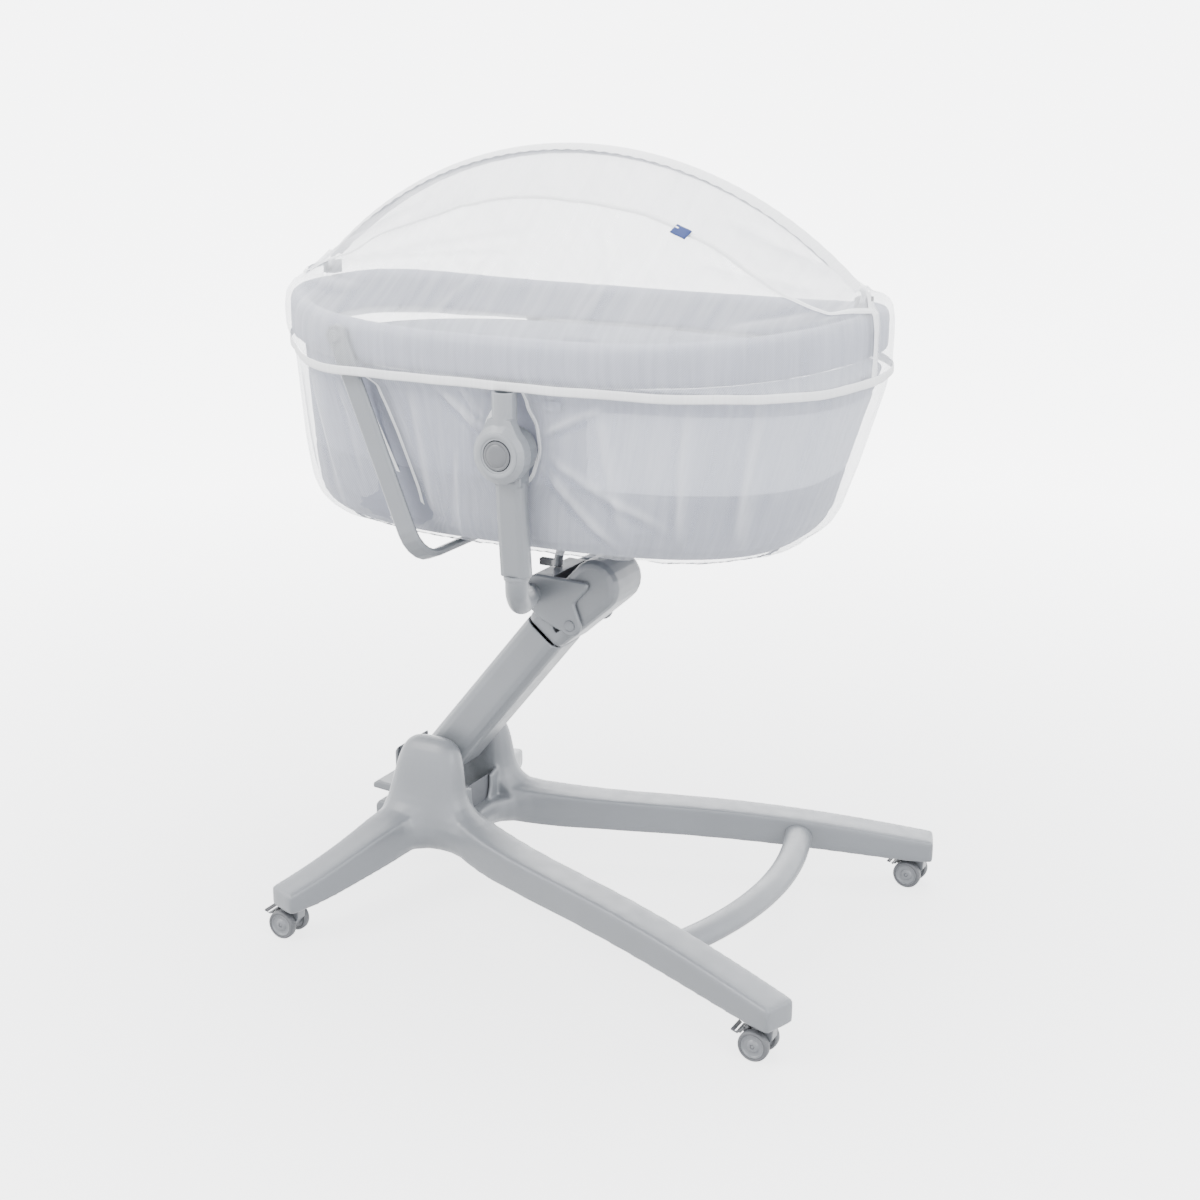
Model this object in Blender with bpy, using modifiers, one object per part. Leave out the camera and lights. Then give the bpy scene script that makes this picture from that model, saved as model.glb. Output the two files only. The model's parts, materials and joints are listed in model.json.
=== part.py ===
"""Bassinet on a tilting column stand with four braked twin-wheel casters.

Frame: metres, +Z up, +X towards the long front legs, +Y to the user's left. The origin is on
the floor under the middle of the bounding box. Every moving piece hangs on an empty that stands
on its joint's axis.
"""
import math

import bmesh
import bpy
from mathutils import Matrix, Vector

# ---------------------------------------------------------------- driving dimensions
WHEEL_RADIUS = 0.024
WHEEL_WIDTH = 0.014
WHEEL_TRACK = 0.018         # middle of each wheel from the middle of its caster
CASTER_TRAIL = 0.018
FRONT_STEM = Vector((0.474, 0.328, 0.0))
REAR_STEM = Vector((-0.360, 0.334, 0.0))
FOOT_BOTTOM = 0.053
STEM_RADIUS = 0.005

LOWER_PIVOT = Vector((-0.269, 0.0, 0.2125))
UPPER_PIVOT = Vector((-0.003, 0.0, 0.508))
LINK_OFFSET = Vector((-0.032, 0.0, 0.0))
COLUMN_WIDTH = 0.100        # along Y
COLUMN_DEPTH = 0.075
COLUMN_WALL = 0.004
BAY_HALF_WIDTH = 0.0515
TILT_RANGE = math.radians(18)    # the column leans this far forward at its lowest

TUB_PIVOT_X = 0.024
TUB_PIVOT_Z = 0.840
ARM_EYE_INNER = 0.2645      # |Y| of the arm eye's faces
ARM_EYE_OUTER = 0.2935

RIM_CENTRE_X = -0.0125
RIM_HALF_LENGTH = 0.4825
RIM_HALF_WIDTH = 0.292
RIM_HALF_DEPTH = 0.016      # half the thickness of the rim's band
RIM_POWER = 2.6             # superellipse exponent of every outline of the tub
RIM_TOP = 1.007
RIM_BAND_BOTTOM = 0.940
RIM_RISE = 0.030            # both ends of the rim stand this much higher than its middle
TUB_TOP = 0.936
TUB_BOTTOM = 0.672
TUB_CORNER = 0.055
TUB_WALL = 0.014

ARCH_RADIUS = 0.651
ARCH_TOP = 1.246
ARCH_AXIS_Z = 1.050
ARCH_HALF_SPAN = 0.4655
ARCH_CENTRE_X = -0.0145
ROD_RADIUS = 0.005

BAIL_PIVOT = Vector((-0.275, 0.0, 0.985))
BAIL_LEAN = math.radians(21.8)
BAIL_INNER_Y = 0.2745
BAIL_THICKNESS = 0.012
BAIL_WIDTH = 0.034

NET_THICKNESS = 0.0016
NET_GAP = 0.0035            # clearance between the net and what it hangs on
RING_STATIONS = 36          # shared by every band and wall round the tub
SIDES = {"left": 1.0, "right": -1.0}

# ---------------------------------------------------------------- colours
FRAME_GREY = (0.45, 0.47, 0.50)
PALE_GREY = (0.62, 0.64, 0.66)
DARK_GREY = (0.10, 0.105, 0.11)
BUTTON_GREY = (0.20, 0.21, 0.22)
STEEL = (0.60, 0.61, 0.62)
FABRIC_GREY = (0.60, 0.62, 0.69)
NET_WHITE = (0.90, 0.91, 0.93)
WHITE = (0.88, 0.89, 0.91)
BOARD = (0.55, 0.53, 0.50)


# ---------------------------------------------------------------- scene and helpers
def clear_scene():
    for item in list(bpy.data.objects):
        bpy.data.objects.remove(item, do_unlink=True)
    for name in ("bassinet_on_stand", "cutters"):
        old = bpy.data.collections.get(name)
        if old:
            bpy.data.collections.remove(old)


def new_collection(name):
    collection = bpy.data.collections.new(name)
    bpy.context.scene.collection.children.link(collection)
    return collection


clear_scene()
PARTS = new_collection("bassinet_on_stand")
CUTTERS = new_collection("cutters")


def make_material(name, colour, roughness, metallic=0.0):
    material = bpy.data.materials.new(name)
    material.use_nodes = True
    shader = material.node_tree.nodes["Principled BSDF"]
    shader.inputs["Base Color"].default_value = (*colour, 1.0)
    shader.inputs["Roughness"].default_value = roughness
    shader.inputs["Metallic"].default_value = metallic
    material.diffuse_color = (*colour, 1.0)
    return material


def joint_empty(name, place):
    empty = bpy.data.objects.new(name, None)
    empty.empty_display_size = 0.03
    empty.location = place
    PARTS.objects.link(empty)
    return empty


def mesh_object(name, mesh, place=(0, 0, 0), parent=None, collection=None):
    """Link a mesh whose points are in world coordinates, with its origin moved to place."""
    mesh.transform(Matrix.Translation(-Vector(place)))
    item = bpy.data.objects.new(name, mesh)
    (collection or PARTS).objects.link(item)
    if parent:
        item.parent = parent
        item.location = Vector(place) - world_place(parent)
    else:
        item.location = place
    return item


def world_place(item):
    place = item.location.copy()
    while item.parent:
        item = item.parent
        place += item.location
    return place


def finish(item, colour, roughness, metallic=0.0, sharp_angle=35.0):
    """Give a piece its own material and smooth shading with sharp edges kept."""
    item.data.materials.clear()
    item.data.materials.append(make_material(item.name + "_finish", colour, roughness, metallic))
    item.data.shade_smooth()
    item.data.set_sharp_from_angle(angle=math.radians(sharp_angle))
    return item


def mesh_from_rings(name, rings, closed_path=False):
    """Loft through rings of points; open paths get a cap at each end."""
    mesh = bpy.data.meshes.new(name)
    work = bmesh.new()
    rows = [[work.verts.new(point) for point in ring] for ring in rings]
    pairs = list(zip(rows, rows[1:]))
    if closed_path:
        pairs.append((rows[-1], rows[0]))
    count = len(rows[0])
    for low, high in pairs:
        for i in range(count):
            j = (i + 1) % count
            work.faces.new((low[i], low[j], high[j], high[i]))
    if not closed_path:
        work.faces.new(rows[0])
        work.faces.new(rows[-1])
    bmesh.ops.recalc_face_normals(work, faces=work.faces)
    work.to_mesh(mesh)
    work.free()
    return mesh


def cylinder_mesh(name, radius, start, end, sides=24, end_radius=None):
    """A closed cylinder or cone between two points."""
    start, end = Vector(start), Vector(end)
    along = end - start
    work = bmesh.new()
    bmesh.ops.create_cone(work, cap_ends=True, segments=sides, radius1=radius,
                          radius2=radius if end_radius is None else end_radius,
                          depth=along.length)
    turn = along.to_track_quat("Z", "Y").to_matrix().to_4x4()
    bmesh.ops.transform(work, verts=work.verts, matrix=Matrix.Translation((start + end) / 2) @ turn)
    mesh = bpy.data.meshes.new(name)
    work.to_mesh(mesh)
    work.free()
    return mesh


def box_mesh(name, low, high):
    low, high = Vector(low), Vector(high)
    work = bmesh.new()
    bmesh.ops.create_cube(work, size=1.0)
    bmesh.ops.scale(work, verts=work.verts, vec=high - low)
    bmesh.ops.translate(work, verts=work.verts, vec=(low + high) / 2)
    mesh = bpy.data.meshes.new(name)
    work.to_mesh(mesh)
    work.free()
    return mesh


def prism_mesh(name, outline, low_y, high_y):
    """Extrude an outline in the XZ plane from low_y to high_y."""
    return mesh_from_rings(name, [[Vector((x, y, z)) for x, z in outline] for y in (low_y, high_y)])


def curve_mesh(name, points, radius, resolution=2, closed=False):
    """A round rod along the points, with capped ends, as a welded mesh."""
    curve = bpy.data.curves.new(name, "CURVE")
    curve.dimensions = "3D"
    curve.bevel_depth = radius
    curve.bevel_resolution = resolution
    curve.use_fill_caps = True
    spline = curve.splines.new("POLY")
    spline.points.add(len(points) - 1)
    for target, point in zip(spline.points, points):
        target.co = (*point, 1.0)
    spline.use_cyclic_u = closed
    item = bpy.data.objects.new(name, curve)
    PARTS.objects.link(item)
    bpy.context.view_layer.update()
    graph = bpy.context.evaluated_depsgraph_get()
    mesh = bpy.data.meshes.new_from_object(item.evaluated_get(graph))
    mesh.transform(item.matrix_world)
    bpy.data.objects.remove(item, do_unlink=True)
    bpy.data.curves.remove(curve)
    work = bmesh.new()
    work.from_mesh(mesh)
    bmesh.ops.remove_doubles(work, verts=work.verts, dist=0.00001)
    bmesh.ops.recalc_face_normals(work, faces=work.faces)
    work.to_mesh(mesh)
    work.free()
    return mesh


def hide_cutter(item):
    item.hide_render = True
    item.display_type = "WIRE"
    return item


def boolean(item, mesh, operation="DIFFERENCE"):
    """Cut a piece with a mesh in world coordinates, or join the mesh to it."""
    name = f"{item.name}_{operation.lower()}_{len(item.modifiers)}"
    cutter = hide_cutter(mesh_object(name, mesh, collection=CUTTERS))
    step = item.modifiers.new(operation.title(), "BOOLEAN")
    step.operation = operation
    step.solver = "EXACT"
    step.object = cutter
    return item


def bevel(item, width, segments=2, angle=40.0):
    step = item.modifiers.new("Bevel", "BEVEL")
    step.width = width
    step.segments = segments
    step.limit_method = "ANGLE"
    step.angle_limit = math.radians(angle)
    return item


def subdivide(item, levels):
    step = item.modifiers.new("Subdivision", "SUBSURF")
    step.levels = levels
    step.render_levels = levels
    return item


def arc(centre, radius, start, end, count):
    """Points on an arc in a plane, angles in degrees."""
    angles = [math.radians(start + (end - start) * i / (count - 1)) for i in range(count)]
    return [(centre[0] + radius * math.cos(a), centre[1] + radius * math.sin(a)) for a in angles]


def rounded_section(width, height, radius, count=3):
    """A rounded rectangle as (across, up) pairs, counter-clockwise."""
    w, h = width / 2 - radius, height / 2 - radius
    points = []
    for (cx, cy), start in zip(((w, -h), (w, h), (-w, h), (-w, -h)), (-90, 0, 90, 180)):
        points += arc((cx, cy), radius, start, start + 90, count)
    return points


def smooth_path(points, steps):
    """A Catmull-Rom curve through the points."""
    knots = [Vector(p) for p in points]
    knots = [2 * knots[0] - knots[1]] + knots + [2 * knots[-1] - knots[-2]]
    path = []
    for a, b, c, d in zip(knots, knots[1:], knots[2:], knots[3:]):
        for i in range(steps):
            t = i / steps
            path.append(0.5 * (2 * b + (c - a) * t + (2 * a - 5 * b + 4 * c - d) * t ** 2
                               + (3 * b - a - 3 * c + d) * t ** 3))
    return path + [knots[-2]]


def sweep_mesh(name, path, section):
    """Sweep an (across, up) section along a path; across stays level."""
    path = [Vector(p) for p in path]
    rings = []
    for i, point in enumerate(path):
        along = (path[min(i + 1, len(path) - 1)] - path[max(i - 1, 0)]).normalized()
        across = along.cross(Vector((0, 0, 1))).normalized()
        up = across.cross(along)
        rings.append([point + across * u + up * v for u, v in section])
    return mesh_from_rings(name, rings)


# ---------------------------------------------------------------- outlines of the tub
def superellipse(angle, half_length, half_width, centre_x=RIM_CENTRE_X):
    """A point and its outward normal on a superellipse in plan."""
    c, s = math.cos(angle), math.sin(angle)
    power = 2 / RIM_POWER
    x = half_length * math.copysign(abs(c) ** power, c)
    y = half_width * math.copysign(abs(s) ** power, s)
    nx = math.copysign(abs(x / half_length) ** (RIM_POWER - 1), c) / half_length
    ny = math.copysign(abs(y / half_width) ** (RIM_POWER - 1), s) / half_width
    length = math.hypot(nx, ny)
    return Vector((centre_x + x, y, 0)), Vector((nx / length, ny / length, 0))


def rim_rise(x):
    return RIM_RISE * min(1.0, abs((x - RIM_CENTRE_X) / RIM_HALF_LENGTH)) ** 3


def arch_height(x, outside=0.0):
    """Height over x of the arch rod's middle, or of a curve that far outside it."""
    reach = min(abs(x - ARCH_CENTRE_X), ARCH_HALF_SPAN)
    return ARCH_TOP - ARCH_RADIUS + math.sqrt((ARCH_RADIUS + outside) ** 2 - reach ** 2)


def tub_ring(z, inset, count=RING_STATIONS):
    """One level ring of the tub's wall: it narrows downwards, more at the front end."""
    drop = (TUB_TOP - z) / (TUB_TOP - TUB_BOTTOM)
    rear = -0.475 + 0.017 * drop + inset
    front = 0.461 - 0.082 * drop - inset
    half_width = 0.268 - 0.030 * drop - inset
    points = []
    for i in range(count):
        point, _ = superellipse(2 * math.pi * (i + 0.5) / count, (front - rear) / 2, half_width,
                                (front + rear) / 2)
        points.append(Vector((point.x, point.y, z)))
    return points


def wall_slab(name, side, half_length, half_thickness, low, high):
    """A slab along the middle of the tub's side wall, leaning with it."""
    rings = []
    for z in (low, high):
        drop = (TUB_TOP - z) / (TUB_TOP - TUB_BOTTOM)
        middle = 0.268 - 0.030 * drop - TUB_WALL / 2
        inner, outer = middle - half_thickness, middle + half_thickness
        rings.append([Vector((TUB_PIVOT_X + u, v * side, z)) for u, v in
                      ((-half_length, inner), (half_length, inner), (half_length, outer),
                       (-half_length, outer))])
    return mesh_from_rings(name, rings)


def tub_profile(bottom, inset, corner):
    """Rings from the top edge down the wall and round the bottom corner."""
    rings = [tub_ring(TUB_TOP, inset), tub_ring((TUB_TOP + bottom) / 2, inset)]
    for angle in (0, 35, 65, 90):
        a = math.radians(angle)
        z = bottom + corner * (1 - math.sin(a))
        rings.append(tub_ring(z, inset + corner * (1 - math.cos(a))))
    return rings


# ---------------------------------------------------------------- base
def base_cage():
    """Coarse cage of the right half of the base: hub, ear, rear leg and front leg."""
    xs = (-0.345, -0.270, -0.190)
    ys = (-0.122, -0.050, 0.0)
    zs = (0.082, 0.152, 0.215, 0.2825)
    ear_lean = {2: (0.014, 0.004, 0.010), 3: (0.034, 0.016, 0.024)}
    work = bmesh.new()
    crease = work.edges.layers.float.new("crease_edge")
    grid = {}

    def corner(i, j, k):
        if (i, j, k) not in grid:
            x, y = xs[i], ys[j]
            from_rear, from_front, towards = ear_lean.get(k, (0.0, 0.0, 0.0))
            if j == 0:
                y += towards
            x += (from_rear, (from_rear - from_front) / 2, -from_front)[i]
            grid[i, j, k] = work.verts.new((x, y, zs[k]))
        return grid[i, j, k]

    cells = {(i, j, 0) for i in (0, 1) for j in (0, 1)}
    cells |= {(i, 0, k) for i in (0, 1) for k in (1, 2)}
    sides = {(-1, 0, 0): ((0, 0, 0), (0, 0, 1), (0, 1, 1), (0, 1, 0)),
             (1, 0, 0): ((1, 0, 0), (1, 1, 0), (1, 1, 1), (1, 0, 1)),
             (0, -1, 0): ((0, 0, 0), (1, 0, 0), (1, 0, 1), (0, 0, 1)),
             (0, 1, 0): ((0, 1, 0), (0, 1, 1), (1, 1, 1), (1, 1, 0)),
             (0, 0, -1): ((0, 0, 0), (0, 1, 0), (1, 1, 0), (1, 0, 0)),
             (0, 0, 1): ((0, 0, 1), (1, 0, 1), (1, 1, 1), (0, 1, 1))}
    front_mouth = (1, 0, 0), (1, 0, 0)
    rear_mouth = (0, 0, 0), (0, -1, 0)
    for cell in sorted(cells):
        for side, loop in sides.items():
            beyond = tuple(a + b for a, b in zip(cell, side))
            on_mirror = side == (0, 1, 0) and cell[1] == 1
            if beyond in cells or on_mirror or (cell, side) in (front_mouth, rear_mouth):
                continue
            work.faces.new([corner(*(a + b for a, b in zip(cell, c))) for c in loop])

    def leg(mouth, stations, hardness):
        """Continue a mouth (low/high corners) along stations of half width and two heights."""
        previous = mouth
        for (x, y), (across_x, across_y), half, bottom, top in stations:
            ring = [work.verts.new((x - across_x * half, y - across_y * half, bottom)),
                    work.verts.new((x + across_x * half, y + across_y * half, bottom)),
                    work.verts.new((x + across_x * half, y + across_y * half, top)),
                    work.verts.new((x - across_x * half, y - across_y * half, top))]
            for i in range(4):
                j = (i + 1) % 4
                face = work.faces.new((previous[i], previous[j], ring[j], ring[i]))
                for edge in face.edges:
                    along = (set(edge.verts) == {previous[i], ring[i]}
                             or set(edge.verts) == {previous[j], ring[j]})
                    if along:
                        edge[crease] = hardness
            previous = ring
        cap = work.faces.new(previous)
        for edge in cap.edges:
            edge[crease] = hardness

    front_mouth_ring = [corner(2, 0, 0), corner(2, 1, 0), corner(2, 1, 1), corner(2, 0, 1)]
    lateral = Vector((0.336, 0.942))
    leg(front_mouth_ring,
        [((-0.060, -0.139), lateral, 0.031, 0.078, 0.134),
         ((0.150, -0.213), lateral, 0.030, 0.077, 0.133),
         ((0.330, -0.277), lateral, 0.030, 0.064, 0.116),
         ((0.452, -0.3200), lateral, 0.030, FOOT_BOTTOM, 0.098),
         ((0.492, -0.3345), lateral, 0.029, FOOT_BOTTOM, 0.092)], 0.62)
    rear_mouth_ring = [corner(0, 0, 0), corner(1, 0, 0), corner(1, 0, 1), corner(0, 0, 1)]
    sideways = Vector((0.932, -0.362))
    leg(rear_mouth_ring,
        [((-0.316, -0.200), sideways, 0.031, 0.076, 0.137),
         ((-0.348, -0.300), sideways, 0.030, 0.056, 0.104),
         ((-0.372, -0.362), sideways, 0.029, FOOT_BOTTOM, 0.088)], 0.62)
    bmesh.ops.recalc_face_normals(work, faces=work.faces)
    mesh = bpy.data.meshes.new("base_frame")
    work.to_mesh(mesh)
    work.free()
    return mesh


def build_base():
    frame = mesh_object("base_frame", base_cage())
    mirror = frame.modifiers.new("Mirror", "MIRROR")
    mirror.use_axis = (False, True, False)
    mirror.merge_threshold = 0.0001
    subdivide(frame, 2)
    boolean(frame, box_mesh("bay", (-0.40, -BAY_HALF_WIDTH, 0.136), (-0.10, BAY_HALF_WIDTH, 0.35)))
    notch = [(0.030 * math.cos(a), 0.163 + 0.035 * math.sin(a))
             for a in [math.radians(-180 + 180 * i / 8) for i in range(9)]]
    fascia = [(-0.0535, 0.188), (-0.0535, 0.120), (0.0535, 0.120), (0.0535, 0.188),
              (0.031, 0.180)] + notch[::-1] + [(-0.031, 0.180)]
    boolean(frame, mesh_from_rings("bay_front", [[Vector((x, y, z)) for y, z in fascia]
                                                 for x in (-0.216, -0.209)]), "UNION")
    for place in (LOWER_PIVOT, LOWER_PIVOT + LINK_OFFSET):
        radius = 0.0064 if place is LOWER_PIVOT else 0.0034
        boolean(frame, cylinder_mesh("bore", radius, (place.x, -0.068, place.z),
                                     (place.x, 0.068, place.z), 16))
    for stem in (FRONT_STEM, REAR_STEM):
        for side in SIDES.values():
            boolean(frame, cylinder_mesh("socket", STEM_RADIUS + 0.0003,
                                         (stem.x, stem.y * side, 0.04),
                                         (stem.x, stem.y * side, 0.0785), 16))
    finish(frame, FRAME_GREY, 0.45)

    pin = mesh_object("lower_pivot_pin", cylinder_mesh(
        "lower_pivot_pin", 0.006, (LOWER_PIVOT.x, -0.066, LOWER_PIVOT.z),
        (LOWER_PIVOT.x, 0.066, LOWER_PIVOT.z), 16), LOWER_PIVOT)
    finish(pin, STEEL, 0.3, 1.0)
    place = LOWER_PIVOT + LINK_OFFSET
    pin = mesh_object("lower_link_pin", cylinder_mesh(
        "lower_link_pin", 0.003, (place.x, -0.066, place.z), (place.x, 0.066, place.z), 12), place)
    finish(pin, STEEL, 0.3, 1.0)

    bar_path = [(0.327 - 0.79 * y ** 2, y, 0.0935)
                for y in [0.2285 * i / 6 for i in range(-6, 7)]]
    bar = mesh_object("crossbar", sweep_mesh("crossbar", bar_path,
                                             rounded_section(0.046, 0.034, 0.014, 2)))
    finish(bar, FRAME_GREY, 0.45, sharp_angle=50)

    low = [(-0.414, 0.088), (-0.3475, 0.088), (-0.3475, 0.236), (-0.356, 0.226),
           (-0.356, 0.126), (-0.406, 0.126), (-0.414, 0.118)]
    cover = mesh_object("rear_cover", prism_mesh("rear_cover", low, -0.049, 0.049))
    finish(bevel(cover, 0.003), FRAME_GREY, 0.45)


def build_pedal():
    pivot = Vector((-0.362, 0, 0.150))
    empty = joint_empty("pedal_axis", pivot)
    outline = [(-0.424, 0.146), (-0.362, 0.143), (-0.3575, 0.150), (-0.362, 0.158),
               (-0.412, 0.161), (-0.424, 0.155)]
    pedal = mesh_object("pedal", prism_mesh("pedal", outline, -0.044, 0.044), pivot, empty)
    finish(bevel(pedal, 0.002), PALE_GREY, 0.4)


# ---------------------------------------------------------------- column
# Both pivots lie in front of the shell's middle line, the upper one near its front face.
COLUMN_START = LOWER_PIVOT + Vector((-0.0125, 0, 0))
COLUMN_END = UPPER_PIVOT + Vector((-0.038, 0, 0))
COLUMN_AXIS = (COLUMN_END - COLUMN_START).normalized()
COLUMN_NORMAL = Vector((-COLUMN_AXIS.z, 0, COLUMN_AXIS.x))
COLUMN_LENGTH = (COLUMN_END - COLUMN_START).length


def on_column(along, out):
    """XZ of a point given along the column's middle line and out towards its rear face."""
    place = COLUMN_START + COLUMN_AXIS * along + COLUMN_NORMAL * out
    return place.x, place.z


def column_tube(width, depth, radius, start, end, name):
    rings = []
    for along in (start, end):
        x, z = on_column(along, 0)
        rings.append([Vector((x, 0, z)) + Vector((0, 1, 0)) * u + COLUMN_NORMAL * v
                      for u, v in rounded_section(width, depth, radius, 4)])
    return mesh_from_rings(name, rings)


def build_column():
    empty = joint_empty("column_axis", LOWER_PIVOT)
    half = COLUMN_DEPTH / 2
    shell_end = COLUMN_LENGTH - 0.034
    shell = mesh_object("column_shell", column_tube(
        COLUMN_WIDTH, COLUMN_DEPTH, 0.020, 0.028, shell_end, "column_shell"), LOWER_PIVOT, empty)
    boolean(shell, column_tube(COLUMN_WIDTH - 2 * COLUMN_WALL, COLUMN_DEPTH - 2 * COLUMN_WALL,
                               0.016, 0.0, COLUMN_LENGTH, "column_hollow"))
    finish(shell, FRAME_GREY, 0.42)

    inner = half - COLUMN_WALL - 0.0006
    foot_outline = ([on_column(*p) for p in arc((0.0079, -0.0097), 0.016, 90, 270, 9)]
                    + [on_column(0.030, -inner + 0.010), on_column(0.046, -inner),
                       on_column(0.090, -inner), on_column(0.090, -0.0075),
                       on_column(0.026, -0.0045)])
    foot = mesh_object("column_foot", prism_mesh("column_foot", foot_outline, -0.0300, 0.0300),
                       LOWER_PIVOT, empty)
    for side in SIDES.values():
        boolean(foot, cylinder_mesh("collar", 0.0155, (LOWER_PIVOT.x, 0.028 * side, LOWER_PIVOT.z),
                                    (LOWER_PIVOT.x, 0.0505 * side, LOWER_PIVOT.z), 20), "UNION")
    boolean(foot, cylinder_mesh("foot_bore", 0.0063, (LOWER_PIVOT.x, -0.06, LOWER_PIVOT.z),
                                (LOWER_PIVOT.x, 0.06, LOWER_PIVOT.z), 16))
    slot = [on_column(-0.03, -0.0010), on_column(0.10, -0.0010), on_column(0.10, 0.05),
            on_column(-0.03, 0.05)]
    boolean(foot, prism_mesh("foot_slot", slot, -0.0060, 0.0060))
    finish(foot, STEEL, 0.45, 0.8)

    build_head(empty, half, inner, shell_end)


def build_head(empty, half, inner, shell_end):
    """Rounded elbow at the column's top; its tongue fills the front half of the shell."""
    top = shell_end + 0.0005
    bulb = (0.033, 0.574)
    outline = ([on_column(top, -half)] + arc(bulb, 0.043, -52, 128, 11)
               + [on_column(top, half)])
    head = mesh_object("elbow_head", prism_mesh("elbow_head", outline, -0.0500, 0.0500),
                       LOWER_PIVOT, empty)
    bevel(head, 0.012, 2, 50)
    tongue = [on_column(top - 0.060, -inner), on_column(top + 0.004, -inner),
              on_column(top + 0.004, -0.0205), on_column(top - 0.060, -0.0205)]
    boolean(head, prism_mesh("tongue", tongue, -0.030, 0.030), "UNION")
    slot = [on_column(top - 0.07, -0.0203), on_column(COLUMN_LENGTH + 0.013, -0.0203),
            on_column(COLUMN_LENGTH + 0.013, 0.020), on_column(top - 0.07, 0.020)]
    boolean(head, prism_mesh("rod_slot", slot, -0.0060, 0.0060))
    centre = (UPPER_PIVOT.x, UPPER_PIVOT.z)
    track = arc(centre, 0.0372, 166, 212, 6) + arc(centre, 0.0268, 212, 166, 6)
    boolean(head, prism_mesh("pin_track", track, -0.06, 0.06))
    boolean(head, cylinder_mesh("head_bore", 0.0058, (UPPER_PIVOT.x, -0.06, UPPER_PIVOT.z),
                                (UPPER_PIVOT.x, 0.06, UPPER_PIVOT.z), 16))
    finish(head, FRAME_GREY, 0.42)


def build_level_rod():
    """Second bar of the parallelogram, inside the column."""
    pivot = LOWER_PIVOT + LINK_OFFSET
    empty = joint_empty("level_rod_axis", pivot)
    start, end = pivot, UPPER_PIVOT + LINK_OFFSET
    tilt = math.degrees(math.atan2(end.z - start.z, end.x - start.x))
    outline = (arc((start.x, start.z), 0.0065, tilt + 90, tilt + 270, 9)
               + arc((end.x, end.z), 0.0065, tilt - 90, tilt + 90, 9))
    rod = mesh_object("level_rod", prism_mesh("level_rod", outline, -0.004, 0.004), pivot, empty)
    for place in (start, end):
        boolean(rod, cylinder_mesh("eye", 0.0036, (place.x, -0.02, place.z),
                                   (place.x, 0.02, place.z), 12))
    finish(rod, STEEL, 0.4, 1.0)


# ---------------------------------------------------------------- carrier
def build_carrier():
    empty = joint_empty("carrier_axis", UPPER_PIVOT)
    centre = (UPPER_PIVOT.x, UPPER_PIVOT.z)
    cheek = ([(-0.098, 0.556), (-0.090, 0.537), (-0.058, 0.510)]
             + arc(centre, 0.0195, 225, 385, 8)
             + [(0.004, 0.545), (0.030, 0.574), (0.028, 0.583), (-0.066, 0.586), (-0.088, 0.574)])
    bracket = mesh_object("yoke_bracket", prism_mesh("yoke_bracket", cheek, -0.0590, 0.0590),
                          UPPER_PIVOT, empty)
    bevel(bracket, 0.003, 1, 50)
    clear = ([(0.10, 0.45)] + [on_column(COLUMN_LENGTH + 0.30, -0.10)]
             + [on_column(COLUMN_LENGTH + 0.12, 0.044), on_column(COLUMN_LENGTH + 0.02, 0.044)]
             + [on_column(COLUMN_LENGTH - 0.20, 0.044), on_column(COLUMN_LENGTH - 0.20, -0.10)])
    boolean(bracket, prism_mesh("column_room", clear, -0.0515, 0.0515))
    turn = Matrix.Rotation(TILT_RANGE, 3, "Y")
    lowered = [UPPER_PIVOT + turn @ (Vector((x, 0, z)) - UPPER_PIVOT) for x, z in
               (on_column(COLUMN_LENGTH + along, out) for along, out in
                ((-0.20, 0.0415), (-0.20, -0.05), (0.12, -0.05), (0.12, 0.0415)))]
    boolean(bracket, prism_mesh("lowered_room", [(p.x, p.z) for p in lowered], -0.0514, 0.0514))
    boolean(bracket, cylinder_mesh("cheek_bore", 0.0058, (UPPER_PIVOT.x, -0.07, UPPER_PIVOT.z),
                                   (UPPER_PIVOT.x, 0.07, UPPER_PIVOT.z), 16))
    link = UPPER_PIVOT + LINK_OFFSET
    boolean(bracket, cylinder_mesh("link_bore", 0.0034, (link.x, -0.0575, link.z),
                                   (link.x, 0.0575, link.z), 12))
    finish(bracket, FRAME_GREY, 0.42)

    pin = mesh_object("upper_pivot_pin", cylinder_mesh(
        "upper_pivot_pin", 0.0055, (UPPER_PIVOT.x, -0.0570, UPPER_PIVOT.z),
        (UPPER_PIVOT.x, 0.0570, UPPER_PIVOT.z), 16), UPPER_PIVOT, empty)
    finish(pin, STEEL, 0.3, 1.0)
    pin = mesh_object("upper_link_pin", cylinder_mesh(
        "upper_link_pin", 0.003, (link.x, -0.0572, link.z), (link.x, 0.0572, link.z), 12),
        link, empty)
    finish(pin, STEEL, 0.3, 1.0)

    strut_path = smooth_path([(-0.056, 0, 0.5865), (-0.054, 0, 0.604), (-0.044, 0, 0.624),
                              (-0.022, 0, 0.638)], 3)
    strut = mesh_object("release_handle", sweep_mesh("release_handle", strut_path,
                                                     rounded_section(0.018, 0.012, 0.005, 3)),
                        UPPER_PIVOT, empty)
    finish(strut, FRAME_GREY, 0.42, sharp_angle=50)

    for name, side in SIDES.items():
        build_arm(name, side, empty)


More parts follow.
